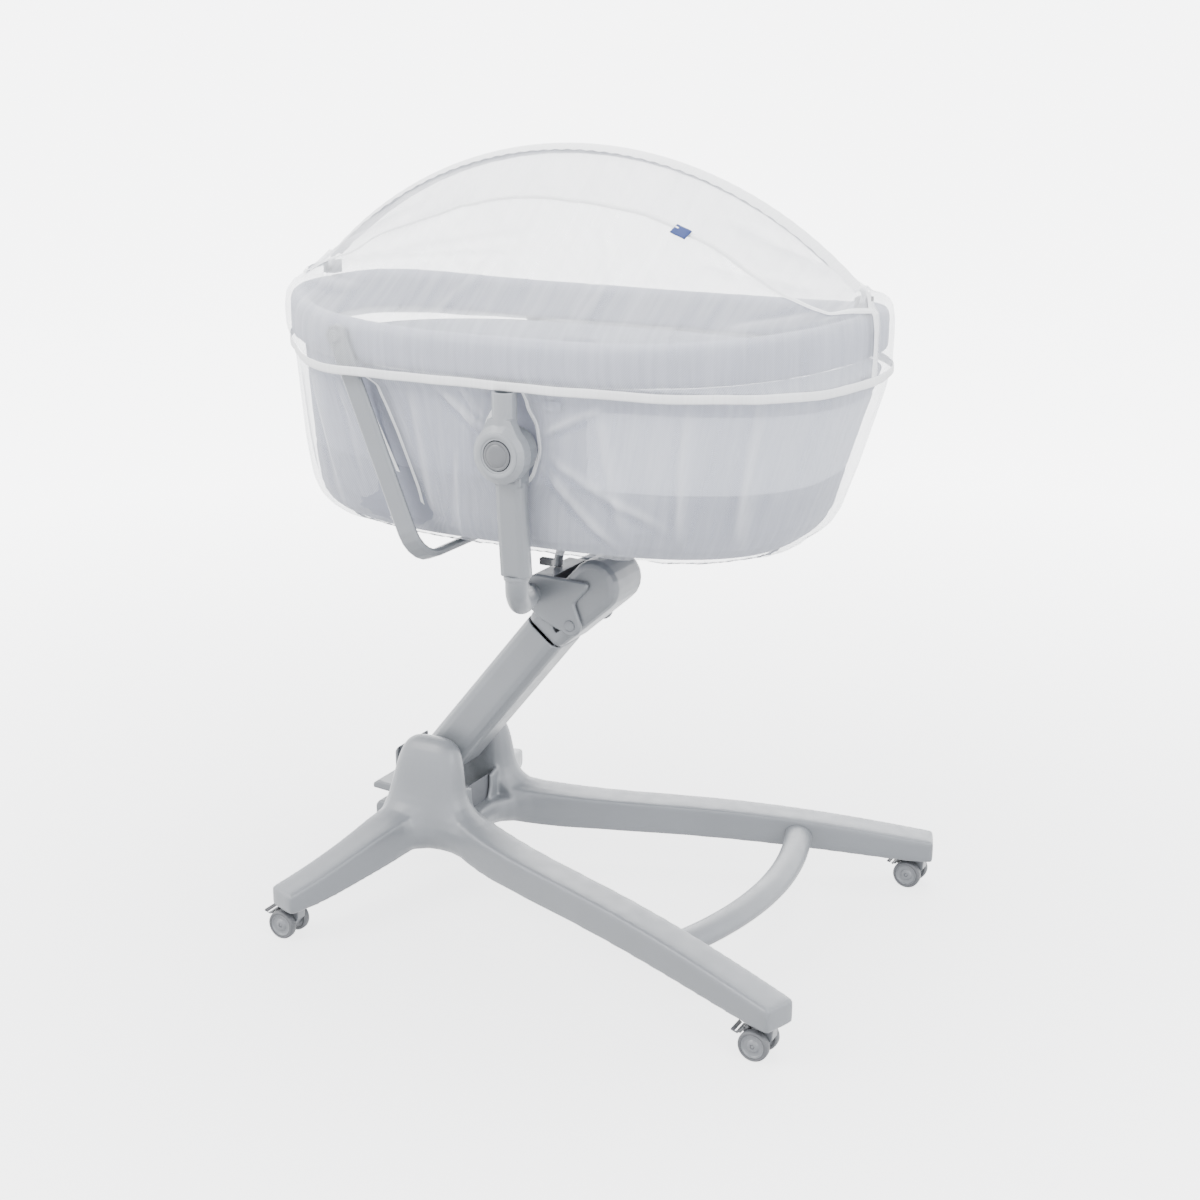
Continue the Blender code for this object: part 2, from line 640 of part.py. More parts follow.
def build_arm(name, side, empty):
    """Bent tube from the bracket, the sleeve above it with its eye round the tub's pivot."""
    route = [(-0.070, 0.072, 0.5545), (-0.032, 0.146, 0.572), (0.007, 0.228, 0.594),
             (0.020, 0.260, 0.618), (TUB_PIVOT_X, 0.268, 0.640)]
    ends = (-0.0735, 0.0601, 0.5530), (TUB_PIVOT_X, 0.268, 0.6485)
    points = [Vector((x, y * side, z)) for x, y, z in
              [ends[0], (-0.0735, 0.0650, 0.5532)] + smooth_path(route, 3) + [ends[1]]]
    arm = mesh_object(f"yoke_arm_{name}", curve_mesh(f"yoke_arm_{name}", points, 0.0175, 2),
                      UPPER_PIVOT, empty)
    finish(arm, FRAME_GREY, 0.42, sharp_angle=60)

    levels = [(0.649, 0.268), (0.700, 0.2725), (0.760, 0.277), (TUB_PIVOT_Z - 0.045, 0.279)]
    rings = []
    for z, y in levels:
        rings.append([Vector((TUB_PIVOT_X + u, y * side + v, z))
                      for u, v in rounded_section(0.048, 0.029, 0.011, 3)])
    sleeve = mesh_object(f"arm_sleeve_{name}", mesh_from_rings(f"arm_sleeve_{name}", rings),
                         UPPER_PIVOT, empty)
    axis_low = (TUB_PIVOT_X, ARM_EYE_INNER * side, TUB_PIVOT_Z)
    axis_high = (TUB_PIVOT_X, ARM_EYE_OUTER * side, TUB_PIVOT_Z)
    neck = box_mesh("neck", (TUB_PIVOT_X - 0.0225, min(0.2655 * side, 0.2925 * side), 0.790),
                    (TUB_PIVOT_X + 0.0225, max(0.2655 * side, 0.2925 * side), 0.830))
    boolean(sleeve, neck, "UNION")
    boolean(sleeve, cylinder_mesh("eye", 0.036, axis_low, axis_high, 32), "UNION")
    boolean(sleeve, cylinder_mesh("eye_bore", 0.0103, (TUB_PIVOT_X, 0.25 * side, TUB_PIVOT_Z),
                                  (TUB_PIVOT_X, 0.31 * side, TUB_PIVOT_Z), 20))
    finish(sleeve, FRAME_GREY, 0.42)


# ---------------------------------------------------------------- tub
def ring_band(name, half_length, half_width, section, rise=True, centre_x=RIM_CENTRE_X,
              bulge=None):
    """A closed band round the tub whose section is (out, up) pairs."""
    rings = []
    for i in range(RING_STATIONS):
        angle = 2 * math.pi * (i + 0.5) / RING_STATIONS
        point, out = superellipse(angle, half_length, half_width, centre_x)
        if bulge:
            point = point + out * bulge(point)
        lift = rim_rise(point.x) if rise else 0.0
        rings.append([point + out * u + Vector((0, 0, v + lift)) for u, v in section])
    return mesh_from_rings(name, rings, closed_path=True)


def bail_bulge(point):
    """How far the tape and net stand out where they pass over the bail's straps."""
    distance = (point.x - BAIL_PIVOT.x + 0.012) / 0.085
    return 0.030 * math.exp(-distance ** 2)


def build_tub():
    pivot = Vector((TUB_PIVOT_X, 0, TUB_PIVOT_Z))
    empty = joint_empty("tub_axis", pivot)

    outer = tub_profile(TUB_BOTTOM, 0.0, TUB_CORNER)
    inner = tub_profile(TUB_BOTTOM + TUB_WALL, TUB_WALL, TUB_CORNER - TUB_WALL)
    shell = mesh_object("tub_shell", mesh_from_rings("tub_shell", outer[::-1] + inner),
                        pivot, empty)
    for side in SIDES.values():
        boolean(shell, wall_slab("plate_pocket", side, 0.037, 0.0030, 0.798, 0.950))
        boolean(shell, cylinder_mesh("pivot_hole", 0.0105, (TUB_PIVOT_X, 0.250 * side, TUB_PIVOT_Z),
                                     (TUB_PIVOT_X, 0.28 * side, TUB_PIVOT_Z), 16))
    finish(shell, FABRIC_GREY, 0.9)

    core = [(-0.0075, 0.941), (0.0075, 0.941), (0.0075, 0.983), (-0.0075, 0.983)]
    rim = mesh_object("rim_frame", ring_band(
        "rim_frame", RIM_HALF_LENGTH - RIM_HALF_DEPTH, RIM_HALF_WIDTH - RIM_HALF_DEPTH, core), pivot, empty)
    finish(rim, STEEL, 0.5, 0.6)
    mid = RIM_TOP - RIM_HALF_DEPTH
    cover = ([(0.0155, RIM_BAND_BOTTOM)]
             + [(u, v) for u, v in arc((0, mid), RIM_HALF_DEPTH, 0, 180, 6)]
             + [(-RIM_HALF_DEPTH, RIM_BAND_BOTTOM), (-0.009, RIM_BAND_BOTTOM), (-0.009, 0.9845),
                (0.009, 0.9845), (0.009, RIM_BAND_BOTTOM)])
    padding = mesh_object("padded_rim", ring_band(
        "padded_rim", RIM_HALF_LENGTH - RIM_HALF_DEPTH, RIM_HALF_WIDTH - RIM_HALF_DEPTH, cover), pivot, empty)
    for item in (rim, padding):
        for side in SIDES.values():
            boolean(item, cylinder_mesh("bail_bore", 0.0054,
                                        (BAIL_PIVOT.x, 0.225 * side, BAIL_PIVOT.z),
                                        (BAIL_PIVOT.x, 0.29 * side, BAIL_PIVOT.z), 16))
    finish(padding, FABRIC_GREY, 0.9, sharp_angle=50)

    board_rings = [tub_ring(z, i) for z, i in ((0.6865, 0.0575), (0.6945, 0.0575))]
    board = mesh_object("base_board", mesh_from_rings("base_board", board_rings), pivot, empty)
    finish(board, BOARD, 0.8)
    mattress_rings = [tub_ring(z, i) for z, i in
                      ((0.6975, 0.040), (0.7035, 0.032), (0.727, 0.0295), (0.735, 0.036))]
    mattress = mesh_object("mattress", mesh_from_rings("mattress", mattress_rings), pivot, empty)
    finish(mattress, WHITE, 0.9)

    for name, side in SIDES.items():
        build_joint(name, side, pivot, empty)
        build_bail_pivot(name, side, empty)
    build_arch_sockets(empty)
    build_net(pivot, empty)
    clip = mesh_object("hem_clip", box_mesh("hem_clip", (0.044, -0.236, 0.6605), (0.066, -0.226, 0.6715)),
                       pivot, empty)
    finish(bevel(clip, 0.0015), DARK_GREY, 0.5)


def build_joint(name, side, pivot, empty):
    """Side plate in the wall, pod with its shaft, outer cover with the accessory socket."""
    x, z = TUB_PIVOT_X, TUB_PIVOT_Z
    plate = mesh_object(f"side_plate_{name}", wall_slab("side_plate", side, 0.036, 0.0025, 0.800,
                                                        0.9395), pivot, empty)
    finish(plate, STEEL, 0.4, 1.0)

    pod = mesh_object(f"joint_pod_{name}", cylinder_mesh(
        "joint_pod", 0.033, (x, 0.2614 * side, z), (x, 0.2641 * side, z), 20), pivot, empty)
    boolean(pod, cylinder_mesh("shaft", 0.0100, (x, 0.2542 * side, z), (x, 0.2945 * side, z), 16),
            "UNION")
    finish(pod, PALE_GREY, 0.45)

    cover = mesh_object(f"joint_cover_{name}", cylinder_mesh(
        "joint_cover", 0.0430, (x, 0.2950 * side, z), (x, 0.3140 * side, z), 24), pivot, empty)
    boolean(cover, cylinder_mesh("face", 0.0430, (x, 0.3139 * side, z), (x, 0.3200 * side, z), 24,
                                 0.0345), "UNION")
    shoulder = [Vector((x + u, 0.2955 * side, w)) for u, w in
                ((-0.034, 0.862), (0.034, 0.862), (0.0185, 0.892), (-0.0185, 0.892))]
    outer = [Vector((p.x, 0.3130 * side, p.z)) for p in shoulder]
    boolean(cover, mesh_from_rings("shoulder", [shoulder, outer]), "UNION")
    chimney_y = 0.2960 * side
    boolean(cover, cylinder_mesh("chimney", 0.0185, (x, chimney_y, 0.8780), (x, chimney_y, 0.9300),
                                 16), "UNION")
    boolean(cover, cylinder_mesh("socket", 0.0145, (x, chimney_y, 0.8950), (x, chimney_y, 0.95), 16))
    boolean(cover, cylinder_mesh("button_well", 0.0228, (x, 0.3040 * side, z),
                                 (x, 0.33 * side, z), 24))
    finish(cover, PALE_GREY, 0.45)

    place = Vector((x, 0.316 * side, z))
    slide = joint_empty(f"button_axis_{name}", place - pivot)
    slide.parent = empty
    button = mesh_object(f"button_{name}", cylinder_mesh(
        "button", 0.0223, (x, 0.3085 * side, z), (x, 0.3215 * side, z), 24), place, slide)
    finish(bevel(button, 0.0015, 1), BUTTON_GREY, 0.35)


def build_bail_pivot(name, side, empty):
    """Headed pin through the bail's eye into the rim."""
    place = BAIL_PIVOT + Vector((0, BAIL_INNER_Y * side, 0))
    outer = BAIL_INNER_Y + BAIL_THICKNESS
    pin = mesh_object(f"bail_pin_{name}", cylinder_mesh(
        "bail_pin", 0.0050, (place.x, 0.2420 * side, place.z), (place.x, (outer + 0.001) * side,
                                                                place.z), 16), place, empty)
    boolean(pin, cylinder_mesh("cap", 0.0105, (place.x, (outer + 0.0004) * side, place.z),
                               (place.x, (outer + 0.0040) * side, place.z), 24, 0.0080), "UNION")
    finish(pin, PALE_GREY, 0.4)


def build_arch_sockets(empty):
    for name, direction in (("front", 1), ("rear", -1)):
        x = ARCH_CENTRE_X + direction * ARCH_HALF_SPAN
        base = RIM_TOP + rim_rise(x) + 0.0008
        low, high = (x - 0.0105, -0.0115, base), (x + 0.0105, 0.0115, ARCH_AXIS_Z + 0.0060)
        socket = mesh_object(f"arch_socket_{name}", box_mesh("arch_socket", low, high),
                             (x, 0, ARCH_AXIS_Z), empty)
        boolean(socket, box_mesh("fork", (x - 0.0062, -0.02, base + 0.0030),
                                 (x + 0.0062, 0.02, ARCH_AXIS_Z + 0.02)))
        boolean(socket, cylinder_mesh("arch_pin", 0.0026, (x - 0.008, 0, ARCH_AXIS_Z),
                                      (x + 0.008, 0, ARCH_AXIS_Z), 12), "UNION")
        finish(socket, DARK_GREY, 0.5)


# ---------------------------------------------------------------- net
def net_angles():
    """Plan angles from the rear end round one side to the front end, clear of the sockets."""
    angles = [2 * math.pi * (i + 0.5) / RING_STATIONS for i in range(RING_STATIONS // 2)]
    margin = math.radians(2)
    half = len(angles) // 2
    rear, front = angles[:half - 1:-1], angles[half - 1::-1]
    return [math.pi - margin] + rear + [math.pi / 2] + front + [margin]


def net_station(angle, side):
    """Tape, rim and arch points of the net in one cross-section."""
    tape, out = superellipse(angle, 0.4790, 0.2950, -0.007)
    rim, rim_out = superellipse(angle, RIM_HALF_LENGTH - RIM_HALF_DEPTH,
                                RIM_HALF_WIDTH - RIM_HALF_DEPTH)
    rim += rim_out * RIM_HALF_DEPTH
    bulge = bail_bulge(rim)
    lift = rim_rise(rim.x)
    points = [tape + out * (bulge + 0.0012) + Vector((0, 0, 0.9440)),
              rim + rim_out * (bulge + NET_GAP) + Vector((0, 0, max(0.955, 0.938 + lift))),
              rim + rim_out * (bulge + 0.001) + Vector((0, 0, RIM_TOP + 0.006 + lift))]
    for point in points:
        point.y *= side
    reach = ARCH_HALF_SPAN - 0.004
    x = max(min(rim.x, ARCH_CENTRE_X + reach), ARCH_CENTRE_X - reach)
    top = Vector((x, 0, max(arch_height(x, ROD_RADIUS + NET_GAP), ARCH_AXIS_Z + 0.030)))
    return points, top


def seam_share(x):
    """Share of the way from rim to arch at which the zip seam lies."""
    reach = min(1.0, abs((x - RIM_CENTRE_X) / RIM_HALF_LENGTH))
    return 0.20 + 0.50 * (1 - reach ** 3)


def sheet_mesh(name, rows):
    mesh = bpy.data.meshes.new(name)
    work = bmesh.new()
    grid = [[work.verts.new(p) for p in row] for row in rows]
    for low, high in zip(grid, grid[1:]):
        for a, b, c, d in zip(low, low[1:], high[1:], high):
            work.faces.new((a, b, c, d))
    work.to_mesh(mesh)
    work.free()
    return mesh


def sheet_object(name, rows, place, parent, flip=False):
    """An open sheet of net with Solidify, its thickness outwards."""
    item = mesh_object(name, sheet_mesh(name, rows), place, parent)
    step = item.modifiers.new("Solidify", "SOLIDIFY")
    step.thickness = NET_THICKNESS
    step.offset = -1.0 if flip else 1.0
    return finish(item, NET_WHITE, 0.8, sharp_angle=60)


def build_net(pivot, tub_empty):
    arch_pivot = Vector((ARCH_CENTRE_X, 0, ARCH_AXIS_Z))
    arch_empty = joint_empty("arch_axis", arch_pivot - pivot)
    arch_empty.parent = tub_empty
    build_arch_rod(arch_pivot, arch_empty)

    front_rows, top_rows, rear_rows = [], [], []
    for angle in net_angles():
        (tape, rim, edge), top = net_station(angle, -1)
        share = seam_share(edge.x)
        seam = edge.lerp(top, share)
        along = (top - edge).normalized()
        front_rows.append([tape, rim, edge, edge.lerp(seam, 0.5), seam - along * 0.0004])
        near_top = top - Vector((0, 0.0004, 0))
        top_rows.append([seam + along * 0.0004, seam.lerp(near_top, 0.5), near_top])
        (tape, rim, edge), top = net_station(angle, 1)
        far_top = top + Vector((0, 0.0004, 0))
        rear_rows.append([tape, rim, edge, edge.lerp(far_top, 0.33), edge.lerp(far_top, 0.67),
                          far_top])
    sheet_object("net_front_panel", front_rows, pivot, tub_empty, flip=True)
    sheet_object("net_top_panel", top_rows, arch_pivot, arch_empty, flip=True)
    sheet_object("net_rear_panel", rear_rows, pivot, tub_empty)

    tape_section = [(0.0012, -0.0055), (0.0012, 0.0055), (-0.0012, 0.0055), (-0.0012, -0.0055)]
    tape = mesh_object("net_tape", ring_band(
        "net_tape", 0.4790, 0.2950, [(u + 0.0012, v + 0.9370) for u, v in tape_section],
        rise=False, centre_x=-0.007, bulge=bail_bulge), pivot, tub_empty)
    finish(tape, WHITE, 0.85)
    build_skirt(pivot, tub_empty)


def build_skirt(pivot, empty):
    """Hanging net from the tape to the gathered hem, with openings for joints and straps."""
    tape_row = []
    for i in range(RING_STATIONS):
        angle = 2 * math.pi * (i + 0.5) / RING_STATIONS
        tape, out = superellipse(angle, 0.4770, 0.2930, -0.007)
        tape_row.append(tape + out * bail_bulge(tape) + Vector((0, 0, 0.9310)))
    levels = [tape_row] + [tub_ring(z, -gap) for z, gap in ((0.880, 0.010), (0.800, NET_GAP))]
    corner = TUB_CORNER + NET_GAP
    for angle in (0, 35, 65, 80):
        a = math.radians(angle)
        levels.append(tub_ring(TUB_BOTTOM - NET_GAP + corner * (1 - math.sin(a)),
                               corner * (1 - math.cos(a)) - NET_GAP))
    rows = [[level[i % RING_STATIONS] for level in levels] for i in range(RING_STATIONS + 1)]
    mesh = sheet_mesh("net_skirt", rows)
    work = bmesh.new()
    work.from_mesh(mesh)
    bmesh.ops.remove_doubles(work, verts=work.verts, dist=0.00001)
    bmesh.ops.recalc_face_normals(work, faces=work.faces)
    work.to_mesh(mesh)
    work.free()
    skirt = mesh_object("net_skirt", mesh, pivot, empty)
    step = skirt.modifiers.new("Solidify", "SOLIDIFY")
    step.thickness = NET_THICKNESS
    step.offset = 1.0
    for side in SIDES.values():
        low, high = sorted((0.19 * side, 0.33 * side))
        boolean(skirt, box_mesh("joint_slit", (TUB_PIVOT_X - 0.050, low, 0.788),
                                (TUB_PIVOT_X + 0.050, high, 0.94)))
        boolean(skirt, box_mesh("bail_slit", (-0.335, low, 0.845), (-0.165, high, 0.94)))
    finish(skirt, NET_WHITE, 0.8, sharp_angle=60)


def build_arch_rod(pivot, empty):
    """Wire arch along the tub with an eye at each end."""
    reach = ARCH_HALF_SPAN
    points = []
    steps = 18
    for i in range(steps + 1):
        x = ARCH_CENTRE_X - reach + 2 * reach * i / steps
        points.append(Vector((x, 0, arch_height(x))))
    points[0].z = ARCH_AXIS_Z + 0.0045
    points[-1].z = ARCH_AXIS_Z + 0.0045
    points.insert(1, Vector((ARCH_CENTRE_X - reach + 0.0015, 0, ARCH_AXIS_Z + 0.014)))
    points.insert(-1, Vector((ARCH_CENTRE_X + reach - 0.0015, 0, ARCH_AXIS_Z + 0.014)))
    rod = mesh_object("arch_rod", curve_mesh("arch_rod", points, ROD_RADIUS - 0.001, 1),
                      pivot, empty)
    for direction in (-1, 1):
        x = ARCH_CENTRE_X + direction * reach
        boolean(rod, cylinder_mesh("eye", 0.0065, (x - 0.0046, 0, ARCH_AXIS_Z),
                                   (x + 0.0046, 0, ARCH_AXIS_Z), 16), "UNION")
        boolean(rod, cylinder_mesh("eye_bore", 0.0029, (x - 0.01, 0, ARCH_AXIS_Z),
                                   (x + 0.01, 0, ARCH_AXIS_Z), 12))
    finish(rod, WHITE, 0.5, sharp_angle=60)


# ---------------------------------------------------------------- bail
def build_bail():
    """Flat strap hanging from the rim and passing under the tub."""
    empty = joint_empty("bail_axis", BAIL_PIVOT)
    down = Vector((math.sin(BAIL_LEAN), 0, -math.cos(BAIL_LEAN)))
    across = Vector((math.cos(BAIL_LEAN), 0, math.sin(BAIL_LEAN)))
    reach = 0.357
    corner = 0.045
    middle = BAIL_INNER_Y + BAIL_THICKNESS / 2
    profile = [(-middle, 0.0), (-middle, 0.15)]
    profile += [(y - (middle - corner), d + reach - corner)
                for y, d in arc((0, 0), corner, 180, 90, 6)]
    profile += [(-y, d) for y, d in reversed(profile)]
    half = BAIL_THICKNESS / 2
    rings = []
    for i, (y, d) in enumerate(profile):
        before, after = profile[max(i - 1, 0)], profile[min(i + 1, len(profile) - 1)]
        ty, td = after[0] - before[0], after[1] - before[1]
        length = math.hypot(ty, td)
        normal = Vector((0, td / length, 0)) - down * (ty / length)
        centre = BAIL_PIVOT + Vector((0, y, 0)) + down * d
        rings.append([centre + across * u + normal * v
                      for u, v in rounded_section(BAIL_WIDTH, BAIL_THICKNESS, 0.0045, 2)])
    bail = mesh_object("bail", mesh_from_rings("bail", rings), BAIL_PIVOT, empty)
    for side in SIDES.values():
        low, high = (middle - half + 0.0003) * side, (middle + half - 0.0003) * side
        boolean(bail, cylinder_mesh("eye", BAIL_WIDTH / 2, (BAIL_PIVOT.x, low, BAIL_PIVOT.z),
                                    (BAIL_PIVOT.x, high, BAIL_PIVOT.z), 24), "UNION")
        boolean(bail, cylinder_mesh("eye_bore", 0.0054, (BAIL_PIVOT.x, 0.25 * side, BAIL_PIVOT.z),
                                    (BAIL_PIVOT.x, 0.31 * side, BAIL_PIVOT.z), 16))
    finish(bail, FRAME_GREY, 0.42)


# ---------------------------------------------------------------- casters
def wheel_mesh():
    """Annular wheel turned about its own Z axis with a Screw-like loft: tyre, web and hub."""
    half = WHEEL_WIDTH / 2
    profile = [(0.0034, -half + 0.002), (0.0034, half - 0.002), (0.0170, half - 0.002),
               (0.0190, half), (WHEEL_RADIUS, half - 0.003), (WHEEL_RADIUS, -half + 0.003),
               (0.0190, -half), (0.0170, -half + 0.002)]
    steps = 16
    rings = []
    for i in range(steps):
        a = 2 * math.pi * i / steps
        rings.append([Vector((r * math.cos(a), y, r * math.sin(a))) for r, y in profile])
    return mesh_from_rings("wheel", rings, closed_path=True)


def build_caster(name, stem_place):
    swivel = joint_empty(f"swivel_{name}", stem_place)
    axle = Vector((stem_place.x - CASTER_TRAIL, stem_place.y, WHEEL_RADIUS))
    fork_outline = [(axle.x - 0.009, axle.z - 0.009), (axle.x + 0.010, axle.z - 0.009),
                    (stem_place.x + 0.007, 0.034), (stem_place.x + 0.008, 0.0505),
                    (stem_place.x - 0.012, 0.0505), (axle.x - 0.009, 0.034)]
    fork = mesh_object(f"caster_fork_{name}", prism_mesh(
        "caster_fork", fork_outline, axle.y - 0.0095, axle.y + 0.0095), stem_place, swivel)
    boolean(fork, cylinder_mesh("stem", STEM_RADIUS, (stem_place.x, stem_place.y, 0.045),
                                (stem_place.x, stem_place.y, 0.0775), 16), "UNION")
    boolean(fork, cylinder_mesh("axle", 0.0030, (axle.x, axle.y - 0.0240, axle.z),
                                (axle.x, axle.y + 0.0240, axle.z), 12), "UNION")
    slot = [(axle.x - 0.03, -0.01), (axle.x + 0.0085, -0.01), (axle.x + 0.0085, 0.0380),
            (axle.x - 0.007, 0.0450), (axle.x - 0.03, 0.0450)]
    low_slot = prism_mesh("brake_slot", slot, axle.y - 0.0032, axle.y + 0.0032)
    boolean(fork, low_slot)
    boolean(fork, cylinder_mesh("axle_again", 0.0030, (axle.x, axle.y - 0.005, axle.z),
                                (axle.x, axle.y + 0.005, axle.z), 12), "UNION")
    finish(fork, PALE_GREY, 0.45)

    spin = joint_empty(f"axle_{name}", axle - Vector(stem_place))
    spin.parent = swivel
    for suffix, side in (("outer", math.copysign(1, axle.y)), ("inner", -math.copysign(1, axle.y))):
        mesh = wheel_mesh()
        centre = axle + Vector((0, WHEEL_TRACK * side, 0))
        mesh.transform(Matrix.Translation(centre))
        wheel = mesh_object(f"wheel_{suffix}_{name}", mesh, axle, spin)
        finish(wheel, DARK_GREY, 0.6)

    eye = [(axle.x + u, axle.z + w) for u, w in arc((0, 0), 0.0064, 200, 400, 7)]
    tip = ([(axle.x + u, axle.z + w) for u, w in arc((0, 0), 0.0288, 137, 158, 4)])
    web = mesh_object(f"brake_lever_{name}", prism_mesh(
        "brake_web", eye + tip, axle.y - 0.0026, axle.y + 0.0026), axle, spin_brake(name, axle,
                                                                                  stem_place,
                                                                                  swivel))
    outer = [(axle.x + u, axle.z + w) for u, w in arc((0, 0), 0.0290, 112, 160, 6)]
    inner = [(axle.x + u, axle.z + w) for u, w in arc((0, 0), 0.0254, 152, 112, 6)]
    tab = [(axle.x - 0.0380, axle.z + 0.0170), (axle.x - 0.0385, axle.z + 0.0135)]
    boolean(web, prism_mesh("brake_tab", outer + tab + inner, axle.y - 0.0150, axle.y + 0.0150),
            "UNION")
    boolean(web, cylinder_mesh("brake_bore", 0.0034, (axle.x, axle.y - 0.01, axle.z),
                               (axle.x, axle.y + 0.01, axle.z), 12))
    finish(web, DARK_GREY, 0.5)


def spin_brake(name, axle, stem_place, swivel):
    brake = joint_empty(f"brake_{name}", axle - Vector(stem_place))
    brake.parent = swivel
    return brake


def build_casters():
    for end, stem in (("front", FRONT_STEM), ("rear", REAR_STEM)):
        for name, side in SIDES.items():
            build_caster(f"{end}_{name}", Vector((stem.x, stem.y * side, 0)))


build_base()
build_pedal()
build_column()
build_level_rod()
build_carrier()
build_tub()
build_bail()
build_casters()
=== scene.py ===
import json
import math

import bmesh
import bpy
import numpy as np
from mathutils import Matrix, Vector, noise

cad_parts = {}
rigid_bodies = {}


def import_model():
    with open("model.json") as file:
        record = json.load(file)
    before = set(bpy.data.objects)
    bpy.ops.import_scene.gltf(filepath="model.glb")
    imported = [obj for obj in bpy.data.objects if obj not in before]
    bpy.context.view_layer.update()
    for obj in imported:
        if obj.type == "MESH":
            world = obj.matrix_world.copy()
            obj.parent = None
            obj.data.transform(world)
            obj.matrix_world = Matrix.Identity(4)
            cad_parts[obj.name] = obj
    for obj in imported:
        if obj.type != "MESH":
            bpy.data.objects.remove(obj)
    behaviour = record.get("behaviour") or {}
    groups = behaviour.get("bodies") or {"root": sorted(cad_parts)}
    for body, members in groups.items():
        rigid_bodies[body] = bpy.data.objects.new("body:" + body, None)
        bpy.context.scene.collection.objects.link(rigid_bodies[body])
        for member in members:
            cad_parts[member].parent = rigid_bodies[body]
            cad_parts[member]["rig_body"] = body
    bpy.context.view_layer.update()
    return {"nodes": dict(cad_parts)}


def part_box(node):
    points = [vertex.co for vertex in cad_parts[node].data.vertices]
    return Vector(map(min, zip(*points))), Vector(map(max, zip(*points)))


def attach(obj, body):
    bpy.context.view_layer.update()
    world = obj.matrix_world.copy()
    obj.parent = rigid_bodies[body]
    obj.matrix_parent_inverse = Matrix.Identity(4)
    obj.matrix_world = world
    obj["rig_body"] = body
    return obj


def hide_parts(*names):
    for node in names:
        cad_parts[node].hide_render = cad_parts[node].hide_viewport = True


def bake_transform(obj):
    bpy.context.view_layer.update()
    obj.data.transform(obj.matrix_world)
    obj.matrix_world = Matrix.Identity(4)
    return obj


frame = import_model()
NODES = frame["nodes"]

RIM_CX, RIM_A, RIM_B, RIM_DEPTH = -0.0125, 0.4825, 0.292, 0.016
RIM_TOP, RIM_RISE = 1.007, 0.030
TAPE_CX, TAPE_A, TAPE_B, TAPE_Z = -0.007, 0.4790, 0.2950, 0.9370
TUB_TOP, TUB_BOTTOM, TUB_CORNER = 0.936, 0.672, 0.055
ARCH_CX, ARCH_HALF, ARCH_R, ARCH_TOP = -0.0145, 0.4655, 0.651, 1.246
PIVOT = (0.024, 0.840)
BAIL = Vector((-0.275, 0.0, 0.985))
BAIL_SLOPE = math.tan(math.radians(21.8))
POWER = 2.6
CASTERS = {"front_left": (0.474, 0.328), "front_right": (0.474, -0.328),
           "rear_left": (-0.360, 0.334), "rear_right": (-0.360, -0.334)}


# ---------------------------------------------------------------- materials
def new_material(name):
    mat = bpy.data.materials.new(name)
    mat.use_nodes = True
    mat.node_tree.nodes.clear()
    return mat, mat.node_tree


def put(tree, socket, value):
    """Link the value to a socket if it is one itself, or else set it there."""
    if isinstance(value, bpy.types.NodeSocket):
        tree.links.new(value, socket)
    else:
        socket.default_value = value


def node(tree, kind, *values, **inputs):
    """A node with its inputs filled by place or by name."""
    made = tree.nodes.new(kind)
    for socket, value in zip(made.inputs, values):
        put(tree, socket, value)
    for key, value in inputs.items():
        put(tree, made.inputs[key.replace("_", " ")], value)
    return made


def math_node(tree, operation, *values):
    made = tree.nodes.new("ShaderNodeMath")
    made.operation = operation
    for socket, value in zip(made.inputs, values):
        put(tree, socket, value)
    return made.outputs[0]


def coordinates(tree, kind="Object"):
    return tree.nodes.new("ShaderNodeTexCoord").outputs[kind]


def finished(mat, shader):
    node(mat.node_tree, "ShaderNodeOutputMaterial", Surface=shader.outputs[0])
    return mat


def noise_node(tree, coords, scale, detail=4.0, roughness=0.55, stretch=None):
    if stretch:
        coords = node(tree, "ShaderNodeMapping", Vector=coords, Scale=stretch).outputs["Vector"]
    return node(tree, "ShaderNodeTexNoise", Vector=coords, Scale=scale, Detail=detail,
                Roughness=roughness).outputs["Fac"]


def ramp_mix(tree, fac, low, high, start=0.3, end=0.7):
    ramp = node(tree, "ShaderNodeValToRGB", Fac=fac)
    for k, (place, rgb) in enumerate(((start, low), (end, high))):
        ramp.color_ramp.elements[k].position = place
        ramp.color_ramp.elements[k].color = (*rgb, 1)
    return ramp.outputs["Color"]


def ranged(tree, fac, low, high, start=0.0, end=1.0):
    return node(tree, "ShaderNodeMapRange", Value=fac, From_Min=start, From_Max=end,
                To_Min=low, To_Max=high).outputs["Result"]


def bump(tree, height, strength, distance, normal=None):
    made = node(tree, "ShaderNodeBump", Height=height, Strength=strength, Distance=distance)
    if normal:
        tree.links.new(normal, made.inputs["Normal"])
    return made.outputs["Normal"]


def scaled(rgb, k):
    return tuple(c * k for c in rgb)


def plastic(name, rgb, rough, grain=0.12, spread=0.05):
    """Moulded or painted surface with fine grain and slightly uneven gloss."""
    mat, tree = new_material(name)
    coords = coordinates(tree)
    cloud = noise_node(tree, coords, 9.0, 3.0)
    gloss = noise_node(tree, coords, 40.0, 4.0)
    fine = noise_node(tree, coords, 1500.0, 2.0)
    return finished(mat, node(
        tree, "ShaderNodeBsdfPrincipled",
        Base_Color=ramp_mix(tree, cloud, scaled(rgb, 1 - spread), scaled(rgb, 1 + spread * 0.6)),
        Roughness=ranged(tree, gloss, rough - 0.05, rough + 0.07, 0.3, 0.7),
        Normal=bump(tree, fine, grain, 0.0004)))


